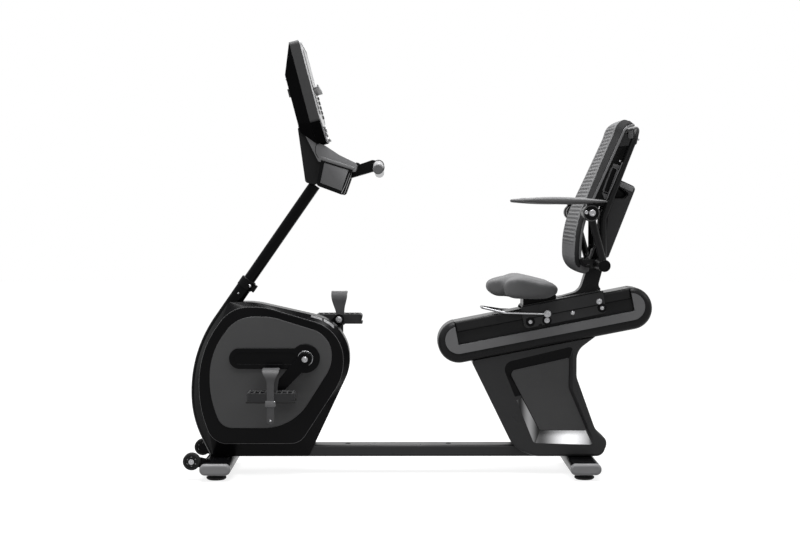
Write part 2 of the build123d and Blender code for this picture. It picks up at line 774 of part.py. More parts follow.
def pedal_strap(side):
    """Band over the foot: a wide inner run, a flared top and a narrow outer run with its tail."""
    tip_x, tip_z = crank_tip(side)
    inner = PEDAL_INNER + TREAD_RIM + STRAP_WALL
    outer = PEDAL_INNER + PEDAL_WIDTH + FIT + STRAP_WALL / 2
    top = tip_z + STRAP_RISE
    tread = tip_z + PEDAL_HEIGHT / 2 - TREAD_DEPTH + FIT
    foot = tip_z - STRAP_TAIL
    path = FilletPolyline(
        (side * inner, tread),
        (side * inner, top - STRAP_WALL / 2),
        (side * outer, top - STRAP_WALL / 2),
        (side * outer, foot),
        radius=STRAP_BEND,
    )
    plane = Plane((tip_x - STRAP_FLARE, 0, 0), x_dir=(0, 1, 0), z_dir=(1, 0, 0))
    band = plane * extrude(trace(path, STRAP_WALL), amount=2 * STRAP_FLARE)
    narrow = STRAP_WIDTH / 2
    bend_z = top - STRAP_BEND
    outer_rows = (
        (tip_x - narrow, foot - 1, 8.0),
        (tip_x + narrow, foot - 1, 8.0),
        (tip_x + narrow, bend_z - 16, 40.0),
        (tip_x + STRAP_FLARE, top + 1, 3.0),
        (tip_x - STRAP_FLARE, top + 1, 3.0),
        (tip_x - narrow, bend_z - 16, 40.0),
    )
    root = STRAP_ROOT / 2
    inner_rows = (
        (tip_x - root, tread - 5, 2.0),
        (tip_x + root, tread - 5, 2.0),
        (tip_x + STRAP_FLARE, top + 1, 3.0),
        (tip_x - STRAP_FLARE, top + 1, 3.0),
    )
    middle = (inner + outer) / 2
    reach = outer + STRAP_WALL
    return (band & side_plate(inner_rows, *both(side, 0, middle))) + (
        band & side_plate(outer_rows, *both(side, middle, reach)))


def console_plane():
    """Front face of the console: x across, y up the face, z towards the rider."""
    tilt = radians(CONSOLE_TILT)
    return Plane((CONSOLE_X, 0, CONSOLE_Z), x_dir=(0, 1, 0), z_dir=(cos(tilt), 0, sin(tilt)))


def console_housing():
    """Display housing with a faceted back."""
    outline = rounded_face(CONSOLE_OUTLINE)
    rim = extrude(outline, amount=CONSOLE_RIM, dir=(0, 0, -1))
    bulge = Pos(0, 0, -CONSOLE_RIM - CONSOLE_BULGE) * rounded_face(BULGE_OUTLINE)
    back = loft([Pos(0, 0, -CONSOLE_RIM) * outline, bulge], ruled=True)
    return console_plane() * (rim + back)


def console_fascia():
    """Glossy display face."""
    outline = rounded_face(inset_rows(CONSOLE_OUTLINE, FASCIA_INSET))
    return console_plane() * extrude(outline, amount=FASCIA_WALL, dir=(0, 0, 1))


def console_neck():
    """Dark neck between the mast and the console."""
    neck = side_plate(NECK_ROWS, -NECK_HALF, NECK_HALF)
    socket = mast_core(MAST_LENGTH - NECK_SOCKET, MAST_LENGTH, MAST_DIAMETER + 2 * RUN)
    return neck - socket - console_housing()


def neck_cover():
    """Grey covers on both sides of the neck, running out to the handlebar."""
    cover = side_plate(NECK_COVER_ROWS, -NECK_COVER_HALF, NECK_COVER_HALF)
    return cover - side_plate(NECK_ROWS, -NECK_HALF, NECK_HALF) - console_housing()


def bottle_tray(side):
    """Open holder beside the neck."""
    inner = NECK_COVER_HALF + FIT
    body = side_plate(TRAY_ROWS, *both(side, inner, TRAY_OUTER))
    room = inset_rows(TRAY_ROWS, TRAY_WALL)
    mouth = [(x, z + (3 * TRAY_WALL if row > 1 else 0), radius) for row, (x, z, radius) in enumerate(room)]
    return body - side_plate(mouth, *both(side, inner + TRAY_WALL, TRAY_OUTER - TRAY_WALL))


def handlebar():
    """Cross bar for both hands on a short arm."""
    arm = side_plate(BAR_ARM_ROWS, -BAR_ARM_HALF, BAR_ARM_HALF)
    arm -= side_plate(NECK_COVER_ROWS, -NECK_COVER_HALF, NECK_COVER_HALF)
    points = (
        (BAR_X, -BAR_HALF, BAR_Z - BAR_DROP),
        (BAR_X, -BAR_BEND, BAR_Z),
        (BAR_X, BAR_BEND, BAR_Z),
        (BAR_X, BAR_HALF, BAR_Z - BAR_DROP),
    )
    path = FilletPolyline(*points, radius=150)
    section = Plane(path @ 0, z_dir=path % 0) * Circle(BAR_DIAMETER / 2 - GRIP_WALL)
    return arm + sweep(section, path=path)


def grip_line(side, along):
    """A point of the grip's axis at a distance across the machine."""
    slope = BAR_DROP / (BAR_HALF - BAR_BEND)
    return BAR_X, side * along, BAR_Z - (along - BAR_BEND) * slope


def grip_sleeve(side):
    """Metal hand sensor sleeve round the bar."""
    start = grip_line(side, GRIP_INNER)
    end = grip_line(side, BAR_HALF)
    return rod(start, end, BAR_DIAMETER) - rod(start, end, BAR_DIAMETER - 2 * GRIP_WALL)


def grip_cap(side):
    """Domed end cap of the bar."""
    cap = rod(grip_line(side, BAR_HALF), grip_line(side, BAR_HALF + GRIP_CAP), BAR_DIAMETER)
    rim = cap.edges().sort_by(Axis.Y)[-1 if side > 0 else 0]
    return fillet(rim, 5)


def rail_window():
    """The room for the rail, open at the top."""
    rows = box_rows(RAIL_FRONT, RAIL_REAR, RAIL_FLOOR, CAPSULE_RADIUS + 30, 0.8)
    return side_plate(rail_rows(rows), -CAPSULE_HALF - 10, CAPSULE_HALF + 10)


def capsule_rows(radius, rise):
    """Outline of a capsule on the rail, its middle raised by the rise."""
    reach = CAPSULE_REACH + radius
    return rail_rows(box_rows(-reach, reach, rise - radius, rise + radius, radius - 0.01))


def rail_housing():
    """Capsule that carries the seat rail."""
    body = side_plate(capsule_rows(CAPSULE_RADIUS, 0), -CAPSULE_HALF, CAPSULE_HALF)
    body = fillet(body.faces().filter_by(Axis.Y).edges(), CAPSULE_EDGE)
    return body - rail_window()


def rail_ring(side):
    """Grey face plate round the rail's window."""
    plate = side_plate(capsule_rows(RING_RADIUS, RING_RISE), *both(side, CAPSULE_HALF, CAPSULE_HALF + 4))
    return plate - rail_window()


def seat_rail():
    """Black rail with an overhanging head."""
    front = RAIL_FRONT + FIT
    rear = RAIL_REAR - FIT
    head_rows = rail_rows(box_rows(front, rear, RAIL_STEP, RAIL_TOP, 1))
    head = side_plate(head_rows, -RAIL_HEAD_HALF, RAIL_HEAD_HALF)
    straight = rear - front - 2
    long_edges = head.edges().filter_by(lambda edge: abs(edge.length - straight) < 0.5)
    head = fillet(long_edges.group_by(Axis.Z)[-1], RAIL_HEAD_EDGE)
    web_rows = rail_rows(box_rows(front, rear, RAIL_FLOOR, RAIL_STEP + 2, 1))
    return head + side_plate(web_rows, -RAIL_WEB_HALF, RAIL_WEB_HALF)


def pedestal():
    """Housing that carries the rail on the rear foot."""
    body = side_plate(PEDESTAL_ROWS, -PEDESTAL_HALF, PEDESTAL_HALF)
    body = fillet(body.faces().filter_by(Axis.Y).edges(), PEDESTAL_EDGE)
    body -= side_plate(capsule_rows(CAPSULE_RADIUS + FIT, 0), -CAPSULE_HALF, CAPSULE_HALF)
    body -= beam_channel(0, REAR_FOOT_X + FOOT_DEPTH / 2 - 5)
    for side, _ in SIDES:
        mouth = side_face(INSET_ROWS, side * PEDESTAL_HALF)
        floor = side_face(INSET_PANEL_ROWS, side * (PEDESTAL_HALF - INSET_DEPTH))
        body -= loft([mouth, floor], ruled=True)
    return body


def pedestal_panel(side):
    """Grey panel in the recess of the pedestal's side."""
    floor = PEDESTAL_HALF - INSET_DEPTH
    rows = inset_rows(INSET_PANEL_ROWS, 2)
    return side_plate(rows, *both(side, floor, floor + PANEL_WALL))


def carriage():
    """Channel over the rail that carries the whole seat."""
    low = ROLLER_RADIUS - 8
    rows = rail_rows(box_rows(CARRIAGE_FRONT, CARRIAGE_REAR, low, CARRIAGE_TOP, 14))
    half = PLATE_INNER + PLATE_WALL
    body = side_plate(rows, -half, half)
    flange = rail_rows(box_rows(CARRIAGE_FRONT + 62, CARRIAGE_REAR - 10, FLANGE_STEP, CARRIAGE_TOP - 6, 3))
    body += side_plate(flange, -half - FLANGE_WALL, half + FLANGE_WALL)
    for u in (ROLLER_FRONT + 30, ROLLER_FRONT + 58):
        x, z = on_rail(u, low)
        body -= across(x, z, 7, -half - 1, half + 1)
    hollow = box_rows(CARRIAGE_FRONT - 10, CARRIAGE_REAR + 10, low - 40, CARRIAGE_TOP - PLATE_WALL, 3)
    return body - side_plate(rail_rows(hollow), -PLATE_INNER, PLATE_INNER)


def under_carriage():
    """Everything below the carriage's top face, for cutting what stands on it."""
    rows = box_rows(CARRIAGE_FRONT - 100, CARRIAGE_REAR + 100, -CAPSULE_RADIUS, CARRIAGE_TOP, 1)
    return side_plate(rail_rows(rows), -CAPSULE_HALF, CAPSULE_HALF)


def carriage_runners():
    """Glide pads on top of the rail and rollers under its head."""
    runners = []
    for u in (ROLLER_FRONT, ROLLER_REAR):
        x, z = on_rail(u, RAIL_STEP - ROLLER_RADIUS - FIT)
        pad_rows = rail_rows(box_rows(u - 16, u + 16, RAIL_TOP + FIT, CARRIAGE_TOP - PLATE_WALL, 1))
        for side, _ in SIDES:
            runners.append(side_plate(pad_rows, *both(side, 26, 54)))
            runners.append(across(x, z, ROLLER_RADIUS, *both(side, RAIL_WEB_HALF + 1, PLATE_INNER)))
    return Compound(children=runners)


def seat_bracket():
    """Block under the cushion, on the carriage."""
    block_form = side_plate(SEAT_BLOCK_ROWS, -SEAT_BLOCK_HALF, SEAT_BLOCK_HALF)
    return block_form - seat_cushion() - under_carriage()


def seat_cushion():
    """Padded seat with a narrow nose."""
    body = side_plate(CUSHION_ROWS, -SEAT_HALF, SEAT_HALF) & plan_prism(CUSHION_PLAN)
    nose = side_plate(NOSE_ROWS, -NOSE_HALF, NOSE_HALF) & plan_prism(NOSE_PLAN)
    return body + nose


def lever_pivot(side):
    """Boss that the lever turns on, on the carriage's side."""
    start = PLATE_INNER + PLATE_WALL
    return across(LEVER_X, LEVER_Z, PIVOT_RADIUS, *both(side, start, LEVER_Y + LEVER_WIRE / 2)) - carriage()


def seat_lever():
    """Bent wire handle round the front of the seat."""
    half = (
        (LEVER_X, LEVER_Y, LEVER_Z),
        (LEVER_X - 145, LEVER_Y, LEVER_Z + 4),
        (LEVER_X - 218, 30, LEVER_Z + 18),
    )
    points = [(x, -y, z) for x, y, z in half] + list(half[::-1])
    return bent_bar(points, LEVER_BEND, Circle(LEVER_WIRE / 2)) - lever_pivot(-1) - lever_pivot(1)


def back_post():
    """Steel post from the carriage to the backrest frame."""
    return side_plate(POST_ROWS, -POST_HALF, POST_HALF) - under_carriage() - cross_tube() - back_cover()


def cross_tube():
    """Tube across the back, low down."""
    return across(CROSS_X, CROSS_Z, CROSS_DIAMETER / 2, -CROSS_HALF, CROSS_HALF)


def back_tube():
    """Bent tube that holds the back shell."""
    points = (
        (CROSS_X + 4, -BACK_TUBE_Y, CROSS_Z),
        (CROSS_X + 4, -BACK_TUBE_Y, BACK_BEND_Z),
        (BACK_TOP_X, -BACK_TUBE_Y, BACK_TOP_Z),
        (BACK_TOP_X, BACK_TUBE_Y, BACK_TOP_Z),
        (CROSS_X + 4, BACK_TUBE_Y, BACK_BEND_Z),
        (CROSS_X + 4, BACK_TUBE_Y, CROSS_Z),
    )
    tube = bent_bar(points, (60, 45, 45, 60), Circle(BACK_TUBE_DIAMETER / 2))
    return tube - cross_tube()


def arm_support(side):
    """Sloping tube from the cross tube to the armrest's pivot."""
    foot = (CROSS_X, side * ARM_BARREL_INNER, CROSS_Z)
    top = (ARM_HINGE_X + 8, side * (ARM_BARREL_INNER + 10), ARM_HINGE_Z - 12)
    barrel_span = both(side, ARM_BARREL_INNER, ARM_HUB_INNER - SIDE_RUN)
    barrel = across(ARM_HINGE_X, ARM_HINGE_Z, ARM_BARREL_RADIUS, *barrel_span)
    outer = ARM_HUB_OUTER + SIDE_RUN
    pin = across(ARM_HINGE_X, ARM_HINGE_Z, ARM_PIN_RADIUS, *both(side, ARM_BARREL_INNER, outer))
    head = across(ARM_HINGE_X, ARM_HINGE_Z, ARM_PIN_RADIUS + 4, *both(side, outer, outer + 4))
    return rod(foot, top, BACK_TUBE_DIAMETER) + barrel + pin + head - cross_tube()


def arm_hub(side):
    """Turning hub with the carrier of the arm pad."""
    low, high = both(side, ARM_HUB_INNER, ARM_HUB_OUTER)
    hub = across(ARM_HINGE_X, ARM_HINGE_Z, ARM_HUB_RADIUS, low, high)
    front = ARM_HINGE_X - ARM_CARRIER_HALF
    rear = ARM_HINGE_X + ARM_CARRIER_HALF
    carrier = block(front, rear, low, high, ARM_HINGE_Z, ARM_HINGE_Z + ARM_HUB_RADIUS + 13)
    carrier -= side_plate(ARMREST_ROWS, *both(side, ARM_PAD_INNER, ARM_PAD_OUTER))
    solids = (hub + carrier - across(ARM_HINGE_X, ARM_HINGE_Z, ARM_PIN_RADIUS + RUN, low, high)).solids()
    return solids.sort_by(Axis.Z)[0]


def arm_pad(side):
    """Lens shaped arm pad with rounded ends."""
    inner, outer = both(side, ARM_PAD_INNER, ARM_PAD_OUTER)
    front = ARMREST_ROWS[0][0]
    rear = ARMREST_ROWS[2][0]
    plan = ((front, inner, 20.0), (rear, inner, 20.0), (rear, outer, 20.0), (front, outer, 20.0))
    return side_plate(ARMREST_ROWS, inner, outer) & plan_prism(plan)


def back_outline():
    """Front outline of the backrest, as a prism along X."""
    plane = Plane((0, 0, 0), x_dir=(0, 1, 0), z_dir=(1, 0, 0))
    return plane * extrude(rounded_face(BACK_OUTLINE), amount=MACHINE_HEIGHT, dir=(0, 0, 1))


def back_shell():
    """Stiff shell behind the pad."""
    rows = band_rows(BACK_CURVE, BACK_PAD_WALL + FIT, BACK_PAD_WALL + BACK_SHELL_WALL, 2.0)
    return side_plate(rows, -BACK_HALF, BACK_HALF) & back_outline()


def back_pad():
    """Padded front of the backrest, thinner towards its sides."""
    middle = band_rows(BACK_CURVE, 0, BACK_PAD_WALL, 4.0)
    edge = band_rows(BACK_CURVE, 14, BACK_PAD_WALL, 4.0)
    pad = side_plate(middle, -BACK_FLAT, BACK_FLAT)
    for side, _ in SIDES:
        pad += loft([side_face(middle, side * BACK_FLAT), side_face(edge, side * BACK_HALF)], ruled=True)
    return pad & back_outline()


def back_bracket(side):
    """Plate between the upper tube and the shell."""
    plate = side_plate(BACK_BRACKET_ROWS, *both(side, BACK_TUBE_Y - 8, BACK_TUBE_Y + 8))
    return (plate - back_tube() - behind_shell()).solids().sort_by(Axis.X)[0]


def lumbar_bracket(side):
    """Block between the cross tube and the foot of the shell."""
    rows = box_rows(CROSS_X - 83, CROSS_X - 3, CROSS_Z - 14, CROSS_Z + 18, 4)
    lug = side_plate(rows, *both(side, LUMBAR_INNER, LUMBAR_OUTER))
    return (lug - cross_tube() - behind_shell()).solids().sort_by(Axis.X)[0]


def behind_shell():
    """The pad and shell as one filled form, for cutting what seats on it."""
    rows = band_rows(BACK_CURVE, 0, BACK_PAD_WALL + BACK_SHELL_WALL, 2.0)
    return side_plate(rows, -BACK_HALF, BACK_HALF)


def shell_brackets():
    """The four plates and blocks that hold the shell."""
    brackets = []
    for side, _ in SIDES:
        brackets.append(back_bracket(side))
        brackets.append(lumbar_bracket(side))
    return Compound(children=brackets)


def back_cover():
    """Rear cover with hand slots."""
    body = side_plate(BACK_COVER_ROWS, -COVER_HALF, COVER_HALF)
    body = fillet(body.faces().filter_by(Axis.Y).edges(), 5)
    for side, _ in SIDES:
        body -= side_plate(HAND_SLOT_ROWS, *both(side, COVER_HALF - 32, COVER_HALF + 1))
    return body


parts = {
    "base_beam": base_beam(),
    "front_foot_beam": foot_beam(FRONT_FOOT_X),
    "rear_foot_beam": foot_beam(REAR_FOOT_X),
    "foot_caps": foot_caps(),
    "levelling_feet": levelling_feet(),
    "front_spine": front_spine(),
    "mast_tube": mast_tube(),
    "mast_collar": mast_collar(),
    "drive_shroud": drive_shroud(),
    "crank_axles": Compound(children=[crank_spindle(), pedal_axle(-1), pedal_axle(1)]),
    "console_housing": console_housing(),
    "console_fascia": console_fascia(),
    "console_neck": console_neck(),
    "neck_cover": neck_cover(),
    "handlebar": handlebar(),
    "rail_housing": rail_housing(),
    "seat_rail": seat_rail(),
    "pedestal": pedestal(),
    "carriage": carriage(),
    "carriage_runners": carriage_runners(),
    "seat_bracket": seat_bracket(),
    "seat_cushion": seat_cushion(),
    "seat_lever": seat_lever(),
    "back_post": back_post(),
    "cross_tube": cross_tube(),
    "back_tube": back_tube(),
    "back_shell": back_shell(),
    "back_pad": back_pad(),
    "back_cover": back_cover(),
    "shell_brackets": shell_brackets(),
}
pairs = {
    "wheel_brackets": wheel_bracket,
    "wheel_axles": wheel_axle,
    "shroud_rings": shroud_ring,
    "shroud_panels": shroud_panel,
    "crank_covers": crank_cover,
    "crank_arms": crank_arm,
    "crank_bolts": crank_bolt,
    "bottle_trays": bottle_tray,
    "rail_rings": rail_ring,
    "pedestal_panels": pedestal_panel,
    "arm_supports": arm_support,
    "grip_sleeves": grip_sleeve,
    "grip_caps": grip_cap,
    "lever_pivots": lever_pivot,
}
for name, make in pairs.items():
    parts[name] = Compound(children=[make(side) for side, _ in SIDES])
for side, word in SIDES:
    parts[f"transport_wheel_{word}"] = transport_wheel(side)
    parts[f"pedal_{word}"] = pedal(side)
    parts[f"pedal_strap_{word}"] = pedal_strap(side)
    parts[f"arm_hub_{word}"] = arm_hub(side)
    parts[f"arm_pad_{word}"] = arm_pad(side)

os.makedirs("parts", exist_ok=True)
for name, shape in parts.items():
    export_step(shape, f"parts/{name}.step")
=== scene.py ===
import json
from math import atan2, copysign, cos, degrees, pi, radians, sin, sqrt, tan

import bmesh
import bpy
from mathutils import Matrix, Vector

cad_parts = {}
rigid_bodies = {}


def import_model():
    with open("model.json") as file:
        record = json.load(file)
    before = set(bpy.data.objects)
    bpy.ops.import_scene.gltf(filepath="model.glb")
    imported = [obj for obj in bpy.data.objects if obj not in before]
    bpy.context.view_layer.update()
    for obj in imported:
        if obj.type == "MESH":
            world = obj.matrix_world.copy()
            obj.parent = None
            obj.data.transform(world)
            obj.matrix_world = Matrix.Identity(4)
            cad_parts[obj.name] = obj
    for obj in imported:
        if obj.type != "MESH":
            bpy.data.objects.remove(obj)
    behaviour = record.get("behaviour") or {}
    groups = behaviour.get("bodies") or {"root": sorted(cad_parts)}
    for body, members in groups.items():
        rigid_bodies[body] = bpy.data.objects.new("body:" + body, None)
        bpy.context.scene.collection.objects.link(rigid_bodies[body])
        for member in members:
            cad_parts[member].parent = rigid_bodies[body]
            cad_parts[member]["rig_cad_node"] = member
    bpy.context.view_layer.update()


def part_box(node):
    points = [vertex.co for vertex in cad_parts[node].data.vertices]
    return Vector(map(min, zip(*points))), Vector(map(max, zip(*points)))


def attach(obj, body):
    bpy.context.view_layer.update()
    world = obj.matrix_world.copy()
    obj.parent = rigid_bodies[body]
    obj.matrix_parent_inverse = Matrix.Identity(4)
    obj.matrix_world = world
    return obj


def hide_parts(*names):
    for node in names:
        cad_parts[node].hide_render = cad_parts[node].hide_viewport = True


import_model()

SIDES = ((-1, "left"), (1, "right"))


def both(make):
    """Calls a function that makes one side's pieces for the left and then for the right."""
    for side, word in SIDES:
        make(side, word)


# Camera, floor and light, in metres

WHITE = (1, 1, 1, 1)
FLOOR_RADIUS, FLOOR_SIDES = 14.0, 96
FLOOR_HEIGHT = -0.0005
FLOOR_NEAR, FLOOR_FAR = 1.3, 2.6    # the floor turns from pale to white between these distances
FLOOR_GLOW = 0.84
FLOOR_MIRRORED, WORLD_MIRRORED = 0.70, 0.75    # how white they are in mirrors and glass
WORLD_LIGHT = 0.10


def add_object(name, data):
    """A new object in the scene."""
    item = bpy.data.objects.new(name, data)
    bpy.context.collection.objects.link(item)
    return item


def make_camera():
    data = bpy.data.cameras.new("camera")
    data.sensor_width = 36.0
    data.lens = 72.0
    camera = add_object("camera", data)
    camera.location = (-0.100, -5.460, 0.918)
    pitch, yaw = radians(2.24), radians(0.358)
    camera.rotation_euler = (radians(90) - pitch, 0.0, -yaw)
    bpy.context.scene.camera = camera


def make_light(name, location, target, size, power, mirrored=True):
    """A rectangular light that faces a target."""
    data = bpy.data.lights.new(name, "AREA")
    data.shape = "RECTANGLE"
    data.size, data.size_y = size
    data.energy = power
    light = add_object(name, data)
    light.location = location
    light.rotation_euler = (Vector(target) - light.location).to_track_quat("-Z", "Y").to_euler()
    light.visible_glossy = mirrored


def add_node(tree, kind, inputs=None, operation=None, data_type=None):
    """A shader node, with a value or a link for each of the inputs named."""
    node = tree.nodes.new(kind)
    if operation:
        node.operation = operation
    if data_type:
        node.data_type = data_type
    for name, value in (inputs or {}).items():
        if isinstance(value, bpy.types.NodeSocket):
            tree.links.new(value, node.inputs[name])
        else:
            node.inputs[name].default_value = value
    return node


def seen_white(tree, surface, strength, mirrored):
    """Adds white to what the camera sees, and to what mirrors and glass see."""
    path = add_node(tree, "ShaderNodeLightPath").outputs
    either = add_node(tree, "ShaderNodeMath", {0: path["Is Glossy Ray"], 1: path["Is Transmission Ray"]},
                      "MAXIMUM")
    in_mirror = add_node(tree, "ShaderNodeMath", {0: either.outputs[0], 1: mirrored}, "MULTIPLY")
    power = add_node(tree, "ShaderNodeMath", {0: path["Is Camera Ray"], 1: strength, 2: in_mirror.outputs[0]},
                     "MULTIPLY_ADD")
    glow = add_node(tree, "ShaderNodeEmission", {"Color": WHITE, "Strength": power.outputs[0]})
    return add_node(tree, "ShaderNodeAddShader", {0: surface, 1: glow.outputs[0]}).outputs[0]


def make_floor():
    """A pale floor that keeps the machine's shadow and turns white further out."""
    mesh = bpy.data.meshes.new("floor")
    around = [2 * pi * k / FLOOR_SIDES for k in range(FLOOR_SIDES)]
    corners = [(FLOOR_RADIUS * cos(t), FLOOR_RADIUS * sin(t), FLOOR_HEIGHT) for t in around]
    mesh.from_pydata(corners, [], [tuple(range(FLOOR_SIDES))])
    floor = add_object("floor", mesh)
    material = bpy.data.materials.new("floor_white")
    material.use_nodes = True
    tree = material.node_tree
    tree.nodes.clear()
    place = add_node(tree, "ShaderNodeTexCoord").outputs["Object"]
    reach = add_node(tree, "ShaderNodeVectorMath", {0: place}, "LENGTH")
    fade = add_node(tree, "ShaderNodeMapRange", {
        "Value": reach.outputs["Value"], "From Min": FLOOR_NEAR, "From Max": FLOOR_FAR,
        "To Min": FLOOR_GLOW, "To Max": 1.0})
    fade.interpolation_type = "SMOOTHSTEP"
    diffuse = add_node(tree, "ShaderNodeBsdfDiffuse", {"Color": (0.25, 0.25, 0.25, 1)})
    surface = seen_white(tree, diffuse.outputs[0], fade.outputs["Result"], FLOOR_MIRRORED)
    add_node(tree, "ShaderNodeOutputMaterial", {"Surface": surface})
    mesh.materials.append(material)


def make_world():
    world = bpy.data.worlds.new("studio")
    world.use_nodes = True
    tree = world.node_tree
    background = tree.nodes["Background"]
    background.inputs["Color"].default_value = WHITE
    background.inputs["Strength"].default_value = WORLD_LIGHT
    surface = seen_white(tree, background.outputs[0], 1.0 - WORLD_LIGHT, WORLD_MIRRORED)
    tree.links.new(surface, tree.nodes["World Output"].inputs["Surface"])
    bpy.context.scene.world = world


make_camera()
make_world()
make_floor()
make_light("top", (0.0, -0.3, 3.4), (0.0, 0.0, 0.6), (3.2, 2.2), 230)
make_light("left", (-3.6, -2.2, 2.2), (0.1, 0.0, 0.7), (1.8, 1.8), 42, mirrored=False)
make_light("front", (0.6, -5.2, 2.4), (0.0, 0.0, 0.5), (2.4, 1.4), 30)
make_light("right", (3.4, -0.8, 2.4), (0.2, 0.0, 0.7), (1.4, 1.4), 22)
make_light("rear", (0.4, 2.9, 2.8), (0.0, 0.0, 0.7), (3.0, 1.2), 30)
bpy.context.scene.view_settings.view_transform = "Standard"


# Materials

def tinted(colour, factor, lift=0.0):
    """A lighter or darker colour, with its alpha."""
    return (*[min(c * factor + lift, 1.0) for c in colour], 1)


def finish(name, grey, blue, rough, metallic=0.0, tone=0.05, grain=0.3, grain_scale=2000,
           wear_and_highlight=0.0, edge=0.0009, brushed=None, gloss=0.2, painted_reflection_bands=None):
    """A near grey surface with colour and roughness variation, fine grain, rounded edges lightened partly as
    wear and partly as a painted highlight, and painted reflection bands when asked.
    """
    colour = (grey, grey, blue)
    material = bpy.data.materials.new(name)
    material.use_nodes = True
    tree = material.node_tree
    shader = tree.nodes["Principled BSDF"]
    shader.inputs["Metallic"].default_value = metallic
    shader.inputs["Specular IOR Level"].default_value = gloss
    place = add_node(tree, "ShaderNodeTexCoord").outputs["Object"]
    broad = add_node(tree, "ShaderNodeTexNoise", {
        "Scale": 7.0, "Detail": 6.0, "Roughness": 0.6, "Vector": place})

    tint = add_node(tree, "ShaderNodeValToRGB", {"Fac": broad.outputs["Fac"]})
    for stop, position, factor in zip(tint.color_ramp.elements, (0.3, 0.7), (1 - tone, 1 + tone)):
        stop.position = position
        stop.color = tinted(colour, factor)
    colour_out = tint.outputs["Color"]
    if painted_reflection_bands:
        # painted reflection: broad bands from dark to light in the colour, standing in for the surroundings
        # that bright metal mirrors
        scale, start = painted_reflection_bands
        bands = add_node(tree, "ShaderNodeTexWave", {"Scale": scale, "Phase Offset": start, "Vector": place})
        painted_reflection_mix = add_node(tree, "ShaderNodeMix", {
            "Factor": bands.outputs["Fac"], "A": tinted(colour, 0.08), "B": colour_out}, data_type="RGBA")
        colour_out = painted_reflection_mix.outputs["Result"]

    bevel = add_node(tree, "ShaderNodeBevel", {"Radius": edge})
    bevel.samples = 4
    rounded_normal = bevel.outputs["Normal"]
    # edges lightened in patches: partly wear, partly a painted highlight along the edges
    if wear_and_highlight > 0:
        geometry = add_node(tree, "ShaderNodeNewGeometry")
        turn = add_node(tree, "ShaderNodeVectorMath", {0: rounded_normal, 1: geometry.outputs["Normal"]},
                        "DOT_PRODUCT")
        edge_patches = add_node(tree, "ShaderNodeTexNoise", {"Scale": 60.0, "Detail": 5.0, "Vector": place})
        mask = add_node(tree, "ShaderNodeMapRange", {
            "Value": turn.outputs["Value"], "From Min": 0.995, "From Max": 0.80, "To Max": wear_and_highlight})
        patchy = add_node(tree, "ShaderNodeMath", {0: mask.outputs["Result"], 1: edge_patches.outputs["Fac"]},
                          "MULTIPLY")
        worn_and_highlit = add_node(tree, "ShaderNodeMix", {
            "Factor": patchy.outputs[0], "A": colour_out, "B": tinted(colour, 2.2, 0.03)}, data_type="RGBA")
        colour_out = worn_and_highlit.outputs["Result"]

    rough_map = add_node(tree, "ShaderNodeMapRange", {
        "Value": broad.outputs["Fac"], "From Min": 0.3, "From Max": 0.7,
        "To Min": max(rough - 0.05, 0.02), "To Max": min(rough + 0.06, 1.0)})
    grain_place = place
    if brushed:
        squeeze = add_node(tree, "ShaderNodeMapping", {"Scale": brushed, "Vector": place})
        grain_place = squeeze.outputs["Vector"]
    fine = add_node(tree, "ShaderNodeTexNoise", {"Scale": grain_scale, "Detail": 2.0, "Vector": grain_place})
    bump = add_node(tree, "ShaderNodeBump", {
        "Strength": grain, "Distance": 0.0003, "Height": fine.outputs["Fac"], "Normal": rounded_normal})
    tree.links.new(colour_out, shader.inputs["Base Color"])
    tree.links.new(rough_map.outputs["Result"], shader.inputs["Roughness"])
    tree.links.new(bump.outputs["Normal"], shader.inputs["Normal"])
    return material


def trim_finish(name, painted_reflection_bands):
    """Polished metal with painted reflection bands in its colour, which have a scale and a start."""
    return finish(name, 0.34, 0.345, 0.16, metallic=1.0, grain=0.03, grain_scale=500, edge=0.0005,
                  gloss=0.5, painted_reflection_bands=painted_reflection_bands)


# Numbers after a name: red and green alike, blue, and roughness
PAINT = finish("black_powder_coat", 0.0030, 0.0034, 0.20, tone=0.15, grain=0.12, grain_scale=1100,
               wear_and_highlight=0.25, gloss=0.05)
BLACK = finish("black_moulded_plastic", 0.0036, 0.0040, 0.24, tone=0.15, grain=0.15, grain_scale=2200,
               wear_and_highlight=0.2, gloss=0.06)
GLOSS = finish("dark_smooth_plastic", 0.0036, 0.0040, 0.16, tone=0.15, grain=0.04, grain_scale=1500,
               wear_and_highlight=0.2, gloss=0.06)
MATT = finish("matt_black_plastic", 0.006, 0.0065, 0.6, tone=0.15, grain=0.25, gloss=0.0)
MID = finish("graphite_coat", 0.014, 0.0145, 0.28, tone=0.08, grain=0.15, grain_scale=1500, wear_and_highlight=0.2,
             gloss=0.09)
SATIN = finish("satin_housing_plastic", 0.029, 0.030, 0.30, grain=0.2, wear_and_highlight=0.1, gloss=0.15)
CASE = finish("console_case_plastic", 0.046, 0.047, 0.4, wear_and_highlight=0.1, gloss=0.1)
PANEL = finish("grey_panel_plastic", 0.060, 0.061, 0.42, wear_and_highlight=0.1, gloss=0.18)
GREY = finish("mid_grey_plastic", 0.135, 0.138, 0.36, tone=0.06, grain_scale=1900, wear_and_highlight=0.15, gloss=0.25)
PALE = finish("light_grey_plastic", 0.21, 0.215, 0.36, grain=0.25, grain_scale=1900, wear_and_highlight=0.1, gloss=0.3)
LABEL = finish("blank_label", 0.52, 0.53, 0.4, tone=0.03, grain=0.1, grain_scale=900)
